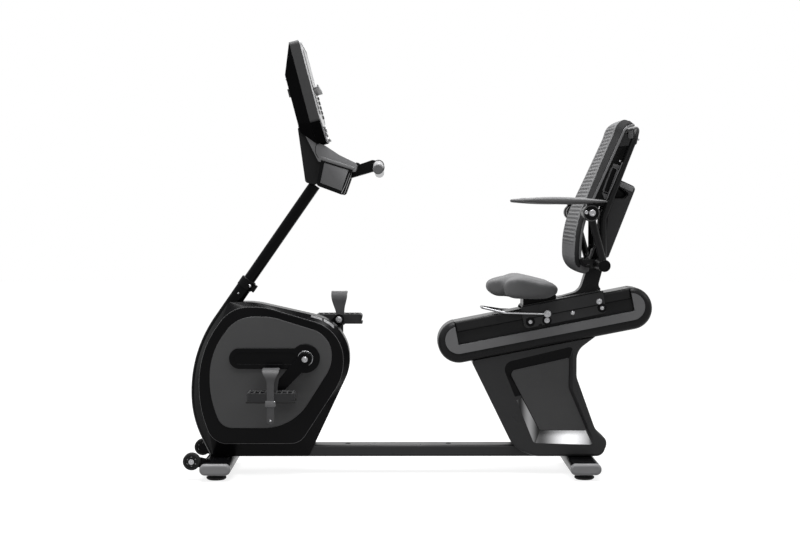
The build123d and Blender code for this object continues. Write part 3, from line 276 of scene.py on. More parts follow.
# wide edge lightening on the pedals: wear, and a painted highlight on their edges
PEDAL = finish("pedal_resin", 0.026, 0.027, 0.34, tone=0.08, grain_scale=1800, wear_and_highlight=0.5, edge=0.003,
               gloss=0.15)
FOAM = finish("moulded_seat_foam", 0.098, 0.100, 0.48, tone=0.06, grain=0.45, grain_scale=1300, gloss=0.08)
BACK_FOAM = finish("perforated_back_foam", 0.15, 0.152, 0.5, grain=0.45, grain_scale=1300, gloss=0.0)
# a darker copy of the back foam for the pad's side wings, as painted shade
SHADED_WING_FOAM = finish("back_wing_foam_painted_shade", 0.027, 0.0275, 0.5, grain=0.45, grain_scale=1300, gloss=0.0)
ARM_FOAM = finish("arm_pad_foam", 0.110, 0.112, 0.45, tone=0.06, grain=0.4, grain_scale=1400, gloss=0.1)
STRAP = finish("strap_rubber", 0.070, 0.072, 0.45, tone=0.08, grain=0.35, grain_scale=1200)
RUBBER = finish("matt_rubber", 0.010, 0.010, 0.6, tone=0.2, grain=0.5, grain_scale=900)
STEEL = finish("bright_steel", 0.34, 0.35, 0.22, metallic=1.0, tone=0.06, grain=0.12, grain_scale=700,
               brushed=(1, 12, 1), edge=0.0004, gloss=0.5)
# the two polished trims get painted reflection bands, each with its own scale and start
TRIM = trim_finish("polished_trim", (1.57, 5.98))
SIDE_TRIM = trim_finish("polished_side_trim", (4.9, 4.32))
ANODISED = finish("black_anodised", 0.016, 0.0165, 0.24, tone=0.12, grain=0.12, grain_scale=500,
                  brushed=(1, 30, 30), wear_and_highlight=0.2, gloss=0.1)
SCREEN = finish("display_glass", 0.004, 0.005, 0.06, grain=0.0, grain_scale=1500, edge=0.0004, gloss=0.4)

NODE_MATERIALS = {
    MID: ("rail_housing", "console_neck", "carriage_runners", "back_post", "back_tube",
          "cross_tube", "arm_supports"),
    PAINT: ("front_foot_beam", "rear_foot_beam", "front_spine", "mast_tube", "crank_arms",
            "handlebar", "seat_bracket", "wheel_brackets"),
    BLACK: ("mast_collar", "drive_shroud", "back_shell", "arm_hub_left", "arm_hub_right", "bottle_trays"),
    GLOSS: ("shroud_rings", "crank_covers"),
    SATIN: ("pedestal", "back_cover", "shell_brackets", "base_beam", "carriage"),
    PANEL: ("shroud_panels", "pedestal_panels"),
    CASE: ("console_housing",),
    PEDAL: ("pedal_left", "pedal_right"),
    GREY: ("grip_caps", "rail_rings"),
    ARM_FOAM: ("arm_pad_left", "arm_pad_right"),
    PALE: ("foot_caps", "neck_cover"),
    FOAM: ("seat_cushion",),
    BACK_FOAM: ("back_pad",),
    STRAP: ("pedal_strap_left", "pedal_strap_right"),
    RUBBER: ("levelling_feet", "transport_wheel_left", "transport_wheel_right"),
    STEEL: ("crank_axles", "crank_bolts", "grip_sleeves", "seat_lever", "lever_pivots", "wheel_axles"),
    ANODISED: ("seat_rail",),
    SCREEN: ("console_fascia",),
}

# Slot names by material, unless a call names another, and grey_plastic for the rest; new_piece works one out
# but gives the piece no slot
SLOTS = {
    BLACK: "black_plastic", MATT: "black_plastic", STEEL: "steel", TRIM: "steel", SIDE_TRIM: "steel",
    BACK_FOAM: "back_foam", FOAM: "seat_foam", STRAP: "strap", RUBBER: "rubber", SCREEN: "display",
}


def cad_object(node):
    """The CAD object of a node."""
    for piece in bpy.context.scene.objects:
        if piece.get("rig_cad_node") == node:
            return piece
    raise ValueError(node)


def cad_box(node):
    """The lowest and highest corner of a node, in mm."""
    return [corner * 1000 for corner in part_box(node)]


for material, names in NODE_MATERIALS.items():
    for node in names:
        mesh = cad_object(node).data
        mesh.materials.clear()
        mesh.materials.append(material)


# Mesh building: a shape is a list of vertices in mm and a list of faces

def new_piece(name, body, material, *shapes, slot=None, sharp=35.0, unit=0.001):
    """A mesh object of shapes in a unit, that rides on a body and is smooth but for its sharp edges."""
    verts, faces = [], []
    for shape_verts, shape_faces in shapes:
        base = len(verts)
        verts += [tuple(v * unit) for v in shape_verts]
        faces += [tuple(i + base for i in face) for face in shape_faces]
    mesh = bpy.data.meshes.new(name)
    mesh.from_pydata(verts, [], faces)
    mesh.validate()
    work = bmesh.new()
    work.from_mesh(mesh)
    bmesh.ops.remove_doubles(work, verts=work.verts, dist=1e-6)
    bmesh.ops.recalc_face_normals(work, faces=work.faces)
    work.to_mesh(mesh)
    work.free()
    mesh.shade_smooth()
    mesh.set_sharp_from_angle(angle=radians(sharp))
    mesh.materials.append(material)
    piece = add_object(name, mesh)
    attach(piece, body)
    slot or SLOTS.get(material, "grey_plastic")
    return piece


def smooth_step(low, high, value):
    part = min(max((value - low) / (high - low), 0.0), 1.0)
    return part * part * (3 - 2 * part)


def corner_arc(before, corner, after, radius, steps_for):
    """Points of a rounded corner; steps_for gives the number of steps for a turn in degrees."""
    back, ahead = (before - corner).normalized(), (after - corner).normalized()
    half = back.angle(ahead) / 2
    if radius <= 0 or half > radians(89.9):
        return [corner]
    reach = radius / tan(half)
    centre = corner + (back + ahead).normalized() * (radius / sin(half))
    start, end = corner + back * reach - centre, corner + ahead * reach - centre
    turn = pi - 2 * half
    steps = steps_for(degrees(turn))
    points = []
    for k in range(steps + 1):
        angle = copysign(turn * k / steps, start.cross(end))
        c, s = cos(angle), sin(angle)
        points.append(centre + Vector((start.x * c - start.y * s, start.x * s + start.y * c)))
    return points


def rounded(rows, step=12.0, fixed=0):
    """Points of a closed outline from rows of (u, v, corner radius), with fixed steps a corner if asked."""
    corners = [Vector(row[:2]) for row in rows]
    points = []
    for index, row in enumerate(rows):
        after = corners[(index + 1) % len(rows)]
        points += corner_arc(corners[index - 1], corners[index], after, row[2],
                             lambda turn: fixed or max(2, int(turn / step) + 1))
    return points


def open_curve(rows, step):
    """Evenly spaced points, their left-hand normals and the length of a path of (u, v, radius) rows."""
    corners = [Vector(row[:2]) for row in rows]
    points = [corners[0]]
    for index in range(1, len(rows) - 1):
        points += corner_arc(*corners[index - 1:index + 2], rows[index][2],
                             lambda turn: max(3, int(turn / 2)))
    points.append(corners[-1])
    lengths = [0.0]
    for a, b in zip(points, points[1:]):
        lengths.append(lengths[-1] + (b - a).length)
    total = lengths[-1]
    count = max(2, int(total / step))
    even, index = [], 0
    for k in range(count + 1):
        target = total * k / count
        while index < len(points) - 2 and lengths[index + 1] < target:
            index += 1
        part = (target - lengths[index]) / max(lengths[index + 1] - lengths[index], 1e-9)
        even.append(points[index] + (points[index + 1] - points[index]) * part)
    runs = [(even[min(k + 2, count)] - even[max(k - 2, 0)]).normalized() for k in range(count + 1)]
    return even, [Vector((-run.y, run.x)) for run in runs], total


def skin(rings, caps=True):
    """A skin over rings of equally many points."""
    count = len(rings[0])
    faces = []
    for i in range(len(rings) - 1):
        for j in range(count):
            k = (j + 1) % count
            faces.append((i * count + j, i * count + k, (i + 1) * count + k, (i + 1) * count + j))
    if caps:
        faces.append(tuple(range(count)))
        faces.append(tuple((len(rings) - 1) * count + j for j in range(count)))
    return [v for ring in rings for v in ring], faces


def axes_for(direction):
    """A direction's unit vector and two more that are square to it."""
    direction = Vector(direction).normalized()
    helper = Vector((0, 0, 1)) if abs(direction.z) < 0.9 else Vector((1, 0, 0))
    first = direction.cross(helper).normalized()
    return direction, first, direction.cross(first).normalized()


def circle(centre, first, second, radius, count):
    """Points round a centre, in the plane of two unit vectors."""
    turns = [2 * pi * k / count for k in range(count)]
    return [centre + (first * cos(t) + second * sin(t)) * radius for t in turns]


def turned_rings(profile, centre, direction, segments):
    """Rings of a turned shape, one for each profile row of (radius, height along the direction)."""
    direction, first, second = axes_for(direction)
    return [circle(Vector(centre) + direction * height, first, second, max(radius, 0.01), segments)
            for radius, height in profile]


def turned(profile, centre, direction, segments):
    """A turned shape with closed ends."""
    return skin(turned_rings(profile, centre, direction, segments))


def ring_part(centre, side, y, inner, outer, height):
    """A flat ring with eased edges that stands out to one side."""
    profile = [(inner, 0), (outer, 0), (outer, height - 0.6), (outer - 0.6, height), (inner + 0.6, height),
               (inner, height - 0.6), (inner, 0)]
    return skin(turned_rings(profile, (centre[0], side * y, centre[1]), (0, side, 0), 48), caps=False)


def tube_along(points, radius, segments=14):
    """A round tube along points."""
    points = [Vector(p) for p in points]
    first = axes_for(points[1] - points[0])[1]
    rings = []
    for index, point in enumerate(points):
        run = (points[min(index + 1, len(points) - 1)] - points[max(index - 1, 0)]).normalized()
        first = (first - run * first.dot(run)).normalized()
        rings.append(circle(point, first, run.cross(first), radius, segments))
    return skin(rings)


def side_place(u, v, height):
    """A point of the side view, at a distance across the machine."""
    return Vector((u, height, v))


def inward(outline):
    """Unit normals into a closed outline at its points."""
    count = len(outline)
    area = sum(outline[i - 1].cross(outline[i]) for i in range(count))
    runs = [(outline[(i + 1) % count] - outline[i - 1]).normalized() for i in range(count)]
    return [Vector((-run.y, run.x)) * copysign(1, area) for run in runs]


def inset(outline, distance):
    """The outline moved inwards."""
    return [point + normal * distance for point, normal in zip(outline, inward(outline))]


def slab(outline, low, high, edge, place=side_place):
    """A flat body with eased edges between two heights over an outline."""
    low, high = min(low, high), max(low, high)
    rings = []
    for distance, height in ((edge, low), (edge * 0.3, low + edge * 0.3), (0, low + edge),
                             (0, high - edge), (edge * 0.3, high - edge * 0.3), (edge, high)):
        rings.append([place(*point, height) for point in inset(outline, distance)])
    return skin(rings)


def plate(rows, low, high, edge, place=side_place):
    """A slab over a rounded outline."""
    return slab(rounded(rows), low, high, edge, place)


def block(u_low, u_high, v_low, v_high, radius, low, high, edge, place=side_place):
    """A slab over a rounded rectangle."""
    corners = ((u_low, v_low), (u_high, v_low), (u_high, v_high), (u_low, v_high))
    return plate([(u, v, radius) for u, v in corners], low, high, edge, place)


def band_loop(outline, half, low, high, place=side_place):
    """A flat bar that runs round a closed outline."""
    rings = []
    for outer, inner in zip(inset(outline, -half), inset(outline, half)):
        rings.append([place(*outer, low), place(*inner, low), place(*inner, high), place(*outer, high)])
    rings.append(rings[0])
    return skin(rings, caps=False)


BOLT_STEPS = 36
WASHER_HEIGHT = 1.6


def bolt(centre, direction, radius, height, socket=0.5, washer=0.0):
    """A round cap screw with a hexagon socket, and a washer if its radius is given."""
    low = WASHER_HEIGHT if washer else 0.0
    profile = [(0, 0)]
    if washer:
        profile += [(washer, 0), (washer, low * 0.8), (washer - 0.4, low), (radius, low)]
    else:
        profile += [(radius, 0)]
    profile += [(radius, low + height * 0.75), (radius - 0.5, low + height * 0.93),
                (radius - 1.2, low + height), (radius * socket * 1.12, low + height)]
    rings = turned_rings(profile, centre, direction, BOLT_STEPS)
    direction, first, second = axes_for(direction)
    spokes = circle(Vector((0, 0, 0)), first, second, radius * socket * 0.9, BOLT_STEPS)
    for share, depth in ((1.0, low + height - 0.2), (0.96, low + height * 0.35)):
        ring = []
        for k, spoke in enumerate(spokes):
            sector = (2 * pi * k / BOLT_STEPS + pi / 6) % (pi / 3) - pi / 6
            ring.append(Vector(centre) + spoke * share / cos(sector) + direction * depth)
        rings.append(ring)
    return skin(rings)


def side_bolt(x, y, z, radius, washer=0.0, height=3.5, face=1):
    """A bolt on a side face; its head points away from the middle, or towards it for a face of -1."""
    side = 1 if y > 0 else -1
    return bolt((x, y, z), (0, side * face, 0), radius, height, washer=washer)


# Backrest pad: a moulded foam form over the shell, with ribs above and dashes below

BACK_CURVE = ((694, 1206, 0), (650, 1193, 60), (495, 846, 388), (495, 681, 62), (562, 681, 0))
BACK_HALF = 208.0
BACK_LOW, BACK_MIDDLE, BACK_TOP = 676.0, 944.0, 1213.0
BACK_LOW_CORNER, BACK_TOP_CORNER = 90.0, 42.0
SHELL_FRONT = 25.9       # depth of the shell's face behind the curve
RIM_DEPTH = 30.0
PAD_RIB_PITCH = 13.6
PAD_COLUMNS = 96
RIB_DEPTH = 2.3
RIB_LENGTH, DASH_LENGTH = 62.0, 36.0
WING_RISE = 14.0         # how far the pad falls back towards its side edges
WING_LEAST, WING_SPREAD = 14.0, 64.0    # a wing's width below, and what it gains above


def back_half_width(z):
    """Half width of the backrest's front outline at a height."""
    corner = BACK_TOP_CORNER if z > BACK_MIDDLE else BACK_LOW_CORNER
    over = max(z - (BACK_TOP - corner), (BACK_LOW + corner) - z, 0.0)
    return BACK_HALF - corner + sqrt(max(corner * corner - over * over, 0.0))


def pad_section(point, normal, along, total):
    """One cross section of the pad, face then back, and the half width of its middle field."""
    half = back_half_width(point.y) - 0.6
    dashed = 1 - smooth_step(905, 925, point.y)    # 1 where dashes take the ribs' place
    flat = half - WING_LEAST - WING_SPREAD * smooth_step(800, 1150, point.y)
    ends = min(along, total - along)
    base = 4.0 + 9.0 * smooth_step(10, 95, ends) + 8.0 * (1 - smooth_step(0, 22, ends)) ** 2
    wave = 0.5 - 0.5 * cos(2 * pi * along / PAD_RIB_PITCH)
    ribbed = smooth_step(40, 48, along) * (1 - smooth_step(total - 150, total - 140, along))
    groove = RIB_DEPTH * ribbed * smooth_step(0.25, 0.7, wave)
    length = RIB_LENGTH + (DASH_LENGTH - RIB_LENGTH) * dashed
    row = int(along / PAD_RIB_PITCH)
    shift = (row % 2) * length / 2 * round(dashed)
    ring = []
    for k in range(PAD_COLUMNS + 1):
        y = (-1 + 2 * k / PAD_COLUMNS) * half
        wing = smooth_step(flat - 4, half + 14, abs(y))
        edge = max(0.0, abs(y) - (half - 5)) / 5
        inside = 1 - smooth_step(flat - 36, flat - 30, abs(y))
        local = abs(((y + shift + length / 2) % length) - length / 2)
        dash = 1 - smooth_step(length / 2 - 7, length / 2 - 3.5, local)
        depth = base + WING_RISE * wing + 4.0 * (1 - sqrt(max(1 - edge * edge, 0.0)))
        depth -= 2.0 * (1 - (y / half) ** 2) + groove * inside * dash
        p = point + normal * min(depth, SHELL_FRONT - 0.9)
        ring.append(Vector((p.x, y, p.y)))
    for share, lift in ((1.0, 0.5), (0.985, 0.1), (0.5, 0), (-0.5, 0), (-0.985, 0.1), (-1.0, 0.5)):
        p = point + normal * (SHELL_FRONT - lift)
        ring.append(Vector((p.x, share * half, p.y)))
    return ring, flat


def back_pad():
    points, normals, total = open_curve(BACK_CURVE, 2.3)
    sections, flats = [], []
    for index, (point, normal) in enumerate(zip(points, normals)):
        ring, flat = pad_section(point, normal, total * index / (len(points) - 1), total)
        sections.append(ring)
        flats.append((point.y, flat))
    piece = new_piece("back_pad_foam", "seat", BACK_FOAM, skin(sections), sharp=50)
    piece.data.materials.append(SHADED_WING_FOAM)
    # polygons of the side wings take the darker foam copy, as painted shade
    for polygon in piece.data.polygons:
        z = polygon.center.z * 1000
        flat = min(flats, key=lambda row: abs(row[0] - z))[1]
        if abs(polygon.center.y) * 1000 > flat - 1:
            polygon.material_index = 1
    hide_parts("back_pad")


def back_rim_highlight():
    """A light grey band along the shell's edge, all round the pad, as a painted highlight."""
    points, normals, _ = open_curve(BACK_CURVE, 6.0)
    rows = list(zip(points, normals))
    across = range(-120, 121, 40)
    path = [(p, n, -back_half_width(p.y)) for p, n in rows]
    path += [(*rows[-1], y) for y in across]
    path += [(p, n, back_half_width(p.y)) for p, n in reversed(rows)]
    path += [(*rows[0], -y) for y in across]
    places = [side_place(*(p + n * RIM_DEPTH), y) for p, n, y in path]
    rings = []
    for index, (_, n, _) in enumerate(path):
        run = (places[(index + 1) % len(path)] - places[index - 1]).normalized()
        out = side_place(*n, 0)
        side = run.cross(out).normalized()
        rings.append([places[index] + out * a + side * b for a, b in
                      ((-3.6, -1.0), (-3.6, 1.2), (-2.8, 1.8), (3.0, 1.8), (4.2, 1.0), (4.2, -1.0))])
    rings.append(rings[0])
    new_piece("back_rim_highlight", "seat", GREY, skin(rings, caps=False), sharp=30)


back_pad()
back_rim_highlight()


# Seat cushion: blown up a little from its CAD form, as soft foam under a skin

CUSHION_VOXEL = 0.005    # in metres, as the next two
CUSHION_SHRINK = 0.005   # taken off each side before it is blown up
CUSHION_SWELL = 0.005    # as far as it may then move
CUSHION_SETTLE = 0.89    # its height in use, as a share of its new height
CUSHION_PRESSURE, CUSHION_FRAMES = 4.0, 20
SMOOTH_BEFORE, SMOOTH_AFTER = 22, 4    # smoothing passes


def settle(piece):
    """Applies the piece's modifiers to its mesh."""
    graph = bpy.context.evaluated_depsgraph_get()
    mesh = bpy.data.meshes.new_from_object(piece.evaluated_get(graph))
    piece.modifiers.clear()
    piece.data = mesh


def smooth_out(piece, times):
    """Smooths a piece, after its other modifiers."""
    soften = piece.modifiers.new("soften", "SMOOTH")
    soften.factor = 0.5
    soften.iterations = times
    settle(piece)


def blow_up(piece):
    """Presses the piece out from within by cloth simulation."""
    before = [v.co.copy() for v in piece.data.vertices]
    cloth = piece.modifiers.new("cloth", "CLOTH")
    cloth.settings.use_pressure = True
    cloth.settings.uniform_pressure_force = CUSHION_PRESSURE
    cloth.settings.mass = 0.3
    cloth.settings.tension_stiffness = 25
    cloth.settings.compression_stiffness = 25
    cloth.settings.bending_stiffness = 2.0
    cloth.settings.effector_weights.gravity = 0.0
    cloth.collision_settings.use_collision = False
    cloth.point_cache.frame_start = 1
    cloth.point_cache.frame_end = CUSHION_FRAMES
    scene = bpy.context.scene
    for number in range(1, CUSHION_FRAMES + 1):
        scene.frame_set(number)
    settle(piece)
    scene.frame_set(1)
    for vertex, start in zip(piece.data.vertices, before):
        move = vertex.co - start
        if move.length > CUSHION_SWELL:
            vertex.co = start + move.normalized() * CUSHION_SWELL


def seat_cushion():
    mesh = cad_object("seat_cushion").data
    verts = [v.co.copy() for v in mesh.vertices]
    low = Vector([min(v[k] for v in verts) for k in range(3)])
    high = Vector([max(v[k] for v in verts) for k in range(3)])
    centre, size = (low + high) / 2, high - low
    factor = [1 - 2 * CUSHION_SHRINK / size[k] for k in range(3)]
    verts = [Vector([centre[k] + (v[k] - centre[k]) * factor[k] for k in range(3)]) for v in verts]
    faces = [tuple(p.vertices) for p in mesh.polygons]
    piece = new_piece("seat_cushion_foam", "seat", FOAM, (verts, faces), sharp=180, unit=1.0)
    remesh = piece.modifiers.new("remesh", "REMESH")
    remesh.mode = "VOXEL"
    remesh.voxel_size = CUSHION_VOXEL
    remesh.use_smooth_shade = True
    smooth_out(piece, SMOOTH_BEFORE)
    blow_up(piece)
    smooth_out(piece, SMOOTH_AFTER)
    piece.data.materials.clear()
    piece.data.materials.append(FOAM)
    piece.data.shade_smooth()
    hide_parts("seat_cushion")
    base = min(v.co.z for v in piece.data.vertices)
    for vertex in piece.data.vertices:
        vertex.co.z = base + (vertex.co.z - base) * CUSHION_SETTLE


seat_cushion()


# Arm pads: lens shaped in side view, full round edges

ARM_STEPS, ARM_SIDES = 64, 32
ARM_HEIGHT = 930    # of the seam at the front end


def round_end(end, radius):
    """Share of the full width near an end that is rounded with a radius."""
    return sqrt(max(1 - max(0, 1 - end / radius) ** 2, 0.0004))


def arm_pad(side, word):
    low, high = cad_box("arm_pad_" + word)
    length = high.x - low.x
    middle, half = (low.y + high.y) / 2, (high.y - low.y) / 2
    rings = []
    for k in range(ARM_STEPS + 1):
        u = 0.5 - 0.5 * cos(pi * k / ARM_STEPS)
        end = min(u, 1 - u) * length
        swell = sin(pi * u) ** 0.8
        step = smooth_step(34, 37, u * length)
        up = round_end(end, 5) * (1.5 + (2.6 + 1.6 * step) * (1 - u) + 8.6 * swell)
        down = round_end(end, 5) * (2.0 + 3.6 * (1 - u) + 8.0 * swell)
        width = half * round_end(end, 24)
        ring = []
        for j in range(ARM_SIDES):
            angle = 2 * pi * j / ARM_SIDES
            c, s = cos(angle), sin(angle)
            y = width * copysign(abs(c) ** 0.62, c)
            if abs(s) < 0.12:
                y -= copysign(0.55, c)    # a fine groove along the side
            z = copysign(abs(s) ** 0.8, s) * (up if s > 0 else down)
            ring.append(Vector((low.x + u * length, middle + y, ARM_HEIGHT - 4 * u + z)))
        rings.append(ring)
    piece = new_piece("arm_pad_foam_" + word, "armrest_" + word, ARM_FOAM, skin(rings), sharp=60)
    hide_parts("arm_pad_" + word)


both(arm_pad)


# Pedals: a flared band over the foot and down the outer side, with buckle and tail; a dark band under each
# pedal as painted shade, and lighter tread ribs as a painted highlight

CRANK = Vector((-386.0, 397.0))
CRANK_LENGTH = 161.0
CRANK_ANGLE = radians(47.8)
STRAP_INNER, STRAP_OUTER = 128.0, 211.3
STRAP_SECTION = ((-1, -0.9), (-1, 0.9), (-0.9, 1.6), (-0.74, 1.6), (-0.66, 1.1), (0.66, 1.1), (0.74, 1.6),
                 (0.9, 1.6), (1, 0.9), (1, -0.9), (0.9, -1.6), (-0.9, -1.6))


def crank_tip(side):
    """Where a pedal's axle meets its crank arm, in side view."""
    return CRANK + Vector((cos(CRANK_ANGLE), sin(CRANK_ANGLE))) * CRANK_LENGTH * side


def pedal_strap(side, word):
    tip = crank_tip(side)
    tread, top, foot = tip.y + 14.3, tip.y + 94, tip.y - 86
    rows = ((side * STRAP_INNER, tread, 0), (side * STRAP_INNER, top, 30), (side * STRAP_OUTER, top, 30),
            (side * STRAP_OUTER, foot, 0))
    points, normals, total = open_curve(rows, 2.5)
    rings = []
    for index, (point, normal) in enumerate(zip(points, normals)):
        outside = smooth_step(STRAP_INNER + 25, STRAP_OUTER - 25, abs(point.x))
        narrow = 12.0 + 16.0 * smooth_step(top - 48, top - 2, point.y) ** 1.3
        lift = smooth_step(tread, top - 10, point.y)
        front = (10.0 + 18.0 * lift ** 0.8) * (1 - outside) + narrow * outside
        rear = (18.0 + 10.0 * lift ** 1.5) * (1 - outside) + narrow * outside
        end = total - total * index / (len(points) - 1)
        taper = sqrt(max(1 - (1 - end / 12) ** 2, 0.02)) if end < 12 else 1.0
        ring = []
        for u, n in STRAP_SECTION:
            p = point + normal * n
            ring.append(Vector((tip.x + (front if u < 0 else rear) * taper * u, p.x, p.y)))
        rings.append(ring)
    body = "pedal_" + word
    piece = new_piece("strap_band_" + word, body, STRAP, skin(rings), sharp=40)
    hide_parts("pedal_strap_" + word)
    buckle = block(tip.x - 17, tip.x + 17, tip.y - 28, tip.y - 8, 4,
                   side * (STRAP_OUTER - 1.6), side * (STRAP_OUTER + 3.4), 0.8)
    new_piece("strap_buckle_" + word, body, GREY, buckle)
    pin = turned([(0, 0), (3.4, 0), (3.4, 0.5), (2.6, 1.2), (0, 1.3)],
                 (tip.x, side * (STRAP_OUTER + 1.2), foot + 12), (0, side, 0), 24)
    loop = turned([(0, 0), (2.2, 0), (2.2, 1.6), (1.4, 2.4), (0, 2.6)],
                  (tip.x + 14, side * (STRAP_OUTER + 3.2), tip.y - 10), (0, side, 0), 20)
    new_piece("strap_rivets_" + word, body, STEEL, pin, loop)


def pedal_details(_, word):
    """A dark band round a pedal's underside as painted shade, and tread ribs on top in a lighter grey as a
    painted highlight.
    """
    low, high = cad_box("pedal_" + word)
    shade_band = block(low.x - 0.3, high.x + 0.3, low.z - 0.3, low.z + 6.0, 2.5,
                 low.y - 0.3, high.y + 0.3, 1.4)
    new_piece("pedal_shade_band_" + word, "pedal_" + word, RUBBER, shade_band)
    lit_ribs = []
    for k in range(9):
        x = low.x + (high.x - low.x) * (k + 0.5) / 9
        lit_ribs.append(block(x - 2.2, x + 2.2, high.z - 1.5, high.z + 1.0, 0.8,
                          low.y + 5, high.y - 5, 0.5))
    new_piece("pedal_tread_highlight_" + word, "pedal_" + word, PANEL, *lit_ribs, slot="rubber")


both(pedal_strap)


# Drive side: a light edge line as a painted highlight, bearing rings, bolts, and pale wheel studs as painted
# highlights

SHROUD_CORE_ROWS = ((-765.5, 415, 430), (-765.5, 193, 320), (-700, 60, 10), (-376, 60, 12), (-237, 356, 145),
                    (-237, 513, 148), (-557, 585.5, 280), (-647, 585.5, 12))
SHROUD_SIDE_ROWS = ((-745.5, 420, 335), (-745.5, 233, 390), (-699.5, 107, 70), (-405, 108, 55),
                    (-258, 334, 175), (-258, 491, 134), (-526, 570, 240), (-636.4, 570, 118))
STRIP_STEPS = 12
WHEEL_PLACE = (-760.0, 160.0, 62.0)
STUD_REACH = 15.5        # from the wheel's middle
STUD_PROFILE = ((0, 0), (2.6, 0), (2.6, 1.2), (1.6, 2.0), (0, 2.1))
PLUG_PROFILE = ((0, 0), (9, 0), (9, 1.0), (6, 1.8), (0, 2.0))


def outline_height(outline, x):
    """Upper height of a closed outline at an x."""
    heights = []
    for a, b in zip(outline, outline[1:] + outline[:1]):
        if min(a.x, b.x) <= x <= max(a.x, b.x) and abs(a.x - b.x) > 1e-6:
            heights.append(a.y + (b.y - a.y) * (x - a.x) / (b.x - a.x))
    return max(heights)


def pale_edge_strip(side, x_low, x_high):
    """A thin pale strip on the housing's sloping upper edge."""
    core, face = rounded(SHROUD_CORE_ROWS, 4), rounded(SHROUD_SIDE_ROWS, 4)
    rings = []
    for k in range(STRIP_STEPS + 1):
        x = x_low + (x_high - x_low) * k / STRIP_STEPS
        top = Vector((x, side * 40, outline_height(core, x)))
        low = Vector((x, side * 65, outline_height(face, x)))
        out = Vector((0, side * (top.z - low.z), 25)).normalized()
        a, b = top.lerp(low, 0.08), top.lerp(low, 0.42)
        rings.append([p + out * lift for p, lift in ((a, 0.1), (a, 0.8), (b, 0.8), (b, 0.1))])
    return skin(rings)


def drive_details(side, word):
    # a light grey line round the side cover, as a painted highlight on its rounded edge
    edge = band_loop(rounded(SHROUD_SIDE_ROWS, 3), 0.9, side * 65.6, side * 67.4)
    new_piece("shroud_edge_highlight_" + word, "frame", GREY, edge)
    new_piece("bearing_ring_" + word, "frame", STEEL, ring_part(CRANK, side, 78.0, 23.5, 26.2, 1.6))
    new_piece("pale_strip_" + word, "frame", PALE,
              pale_edge_strip(side, -368, -330), pale_edge_strip(side, -324, -290))
    tip = crank_tip(side)
    new_piece("crank_screws_" + word, "crank", STEEL,
              side_bolt(CRANK.x, side * 114, CRANK.y, 7.5, 9.0, 2.5),
              side_bolt(tip.x, side * 94, tip.y, 7.0, 11.0, 3.0, face=-1))
    new_piece("crank_hub_ring_" + word, "crank", BLACK, ring_part(CRANK, side, 110, 17, 20, 1.2))


def wheel_details(side, word):
    x, y, z = WHEEL_PLACE
    # pale studs round the hub stand in for highlights on the dark wheel: painted highlights
    highlight_studs = []
    for face in (-1, 1):
        for k in range(6):
            angle = radians(30 + 60 * k)
            centre = (x + STUD_REACH * cos(angle), side * y + face * 6.9,
                      z + STUD_REACH * sin(angle))
            highlight_studs.append(turned(STUD_PROFILE, centre, (0, face, 0), 18))
    new_piece("wheel_highlight_studs_" + word, "wheel_" + word, PALE, *highlight_studs)
    new_piece("wheel_screw_" + word, "frame", STEEL, side_bolt(x, side * 176.5, z, 4.6, height=2.2))


def frame_details():
    new_piece("beam_plugs", "frame", BLACK,
              *[turned(PLUG_PROFILE, (x, 0, 98), (0, 0, 1), 32) for x in (-244, 100)])
    new_piece("spine_screws", "frame", STEEL,
              *[side_bolt(-616, side * 23.8, 615, 2.8, height=1.5) for side, _ in SIDES])
    new_piece("collar_screw", "frame", STEEL, bolt((-576.5, -43, 640), (1, 0, 0), 5, 4, washer=7))


both(drive_details)
both(wheel_details)
both(pedal_details)
frame_details()


# Pedestal: black strips on the recess's upper slopes as painted shade, and polished trims with painted
# reflection bands on its lower slopes

RECESS_ROWS = ((278, 378, 30), (388, 106, 14), (598, 100, 14), (520, 290, 60), (520, 436, 12))
RECESS_FLOOR_ROWS = ((302, 351, 18), (408, 148, 8), (571, 147, 6), (508, 294, 54), (510, 398, 6))
PEDESTAL_HALF = 56.0
RECESS_DEPTH = 14.0
CORNER_STEPS, STRAIGHT_STEPS = 8, 20
SLOPE_STEPS = 8          # from the mouth down to the floor
TRIM_BOW = 0.8


def slope_pairs():
    """Matching points of the recess's mouth and floor, all the way round from the upper left corner."""
    mouth, floor = rounded(RECESS_ROWS, fixed=CORNER_STEPS), rounded(RECESS_FLOOR_ROWS, fixed=CORNER_STEPS)
    pairs = []
    for index in range(len(mouth)):
        after = (index + 1) % len(mouth)
        straight = (index + 1) % (CORNER_STEPS + 1) == 0
        for k in range(STRAIGHT_STEPS if straight else 1):
            part = k / STRAIGHT_STEPS
            pairs.append((mouth[index].lerp(mouth[after], part), floor[index].lerp(floor[after], part)))
    return pairs


def slope_strip(pairs, side, bow):
    """A thin plate on the recess's slopes, over a run of point pairs."""
    rings = []
    for index, (a, b) in enumerate(pairs):
        top = side_place(*a, side * PEDESTAL_HALF)
        low = side_place(*b, side * (PEDESTAL_HALF - RECESS_DEPTH))
        before, after = pairs[max(index - 1, 0)], pairs[min(index + 1, len(pairs) - 1)]
        run = after[0] + after[1] - before[0] - before[1]
        out = side_place(*run, 0).cross(low - top).normalized()
        out = out if out.y * side > 0 else -out
        parts = [s / SLOPE_STEPS for s in range(SLOPE_STEPS + 1)]
        face = [top.lerp(low, part) + out * (0.7 + bow * sin(pi * part)) for part in parts]
        under = [top.lerp(low, part) + out * 0.1 for part in reversed(parts)]
        rings.append(face + under)
    return skin(rings)


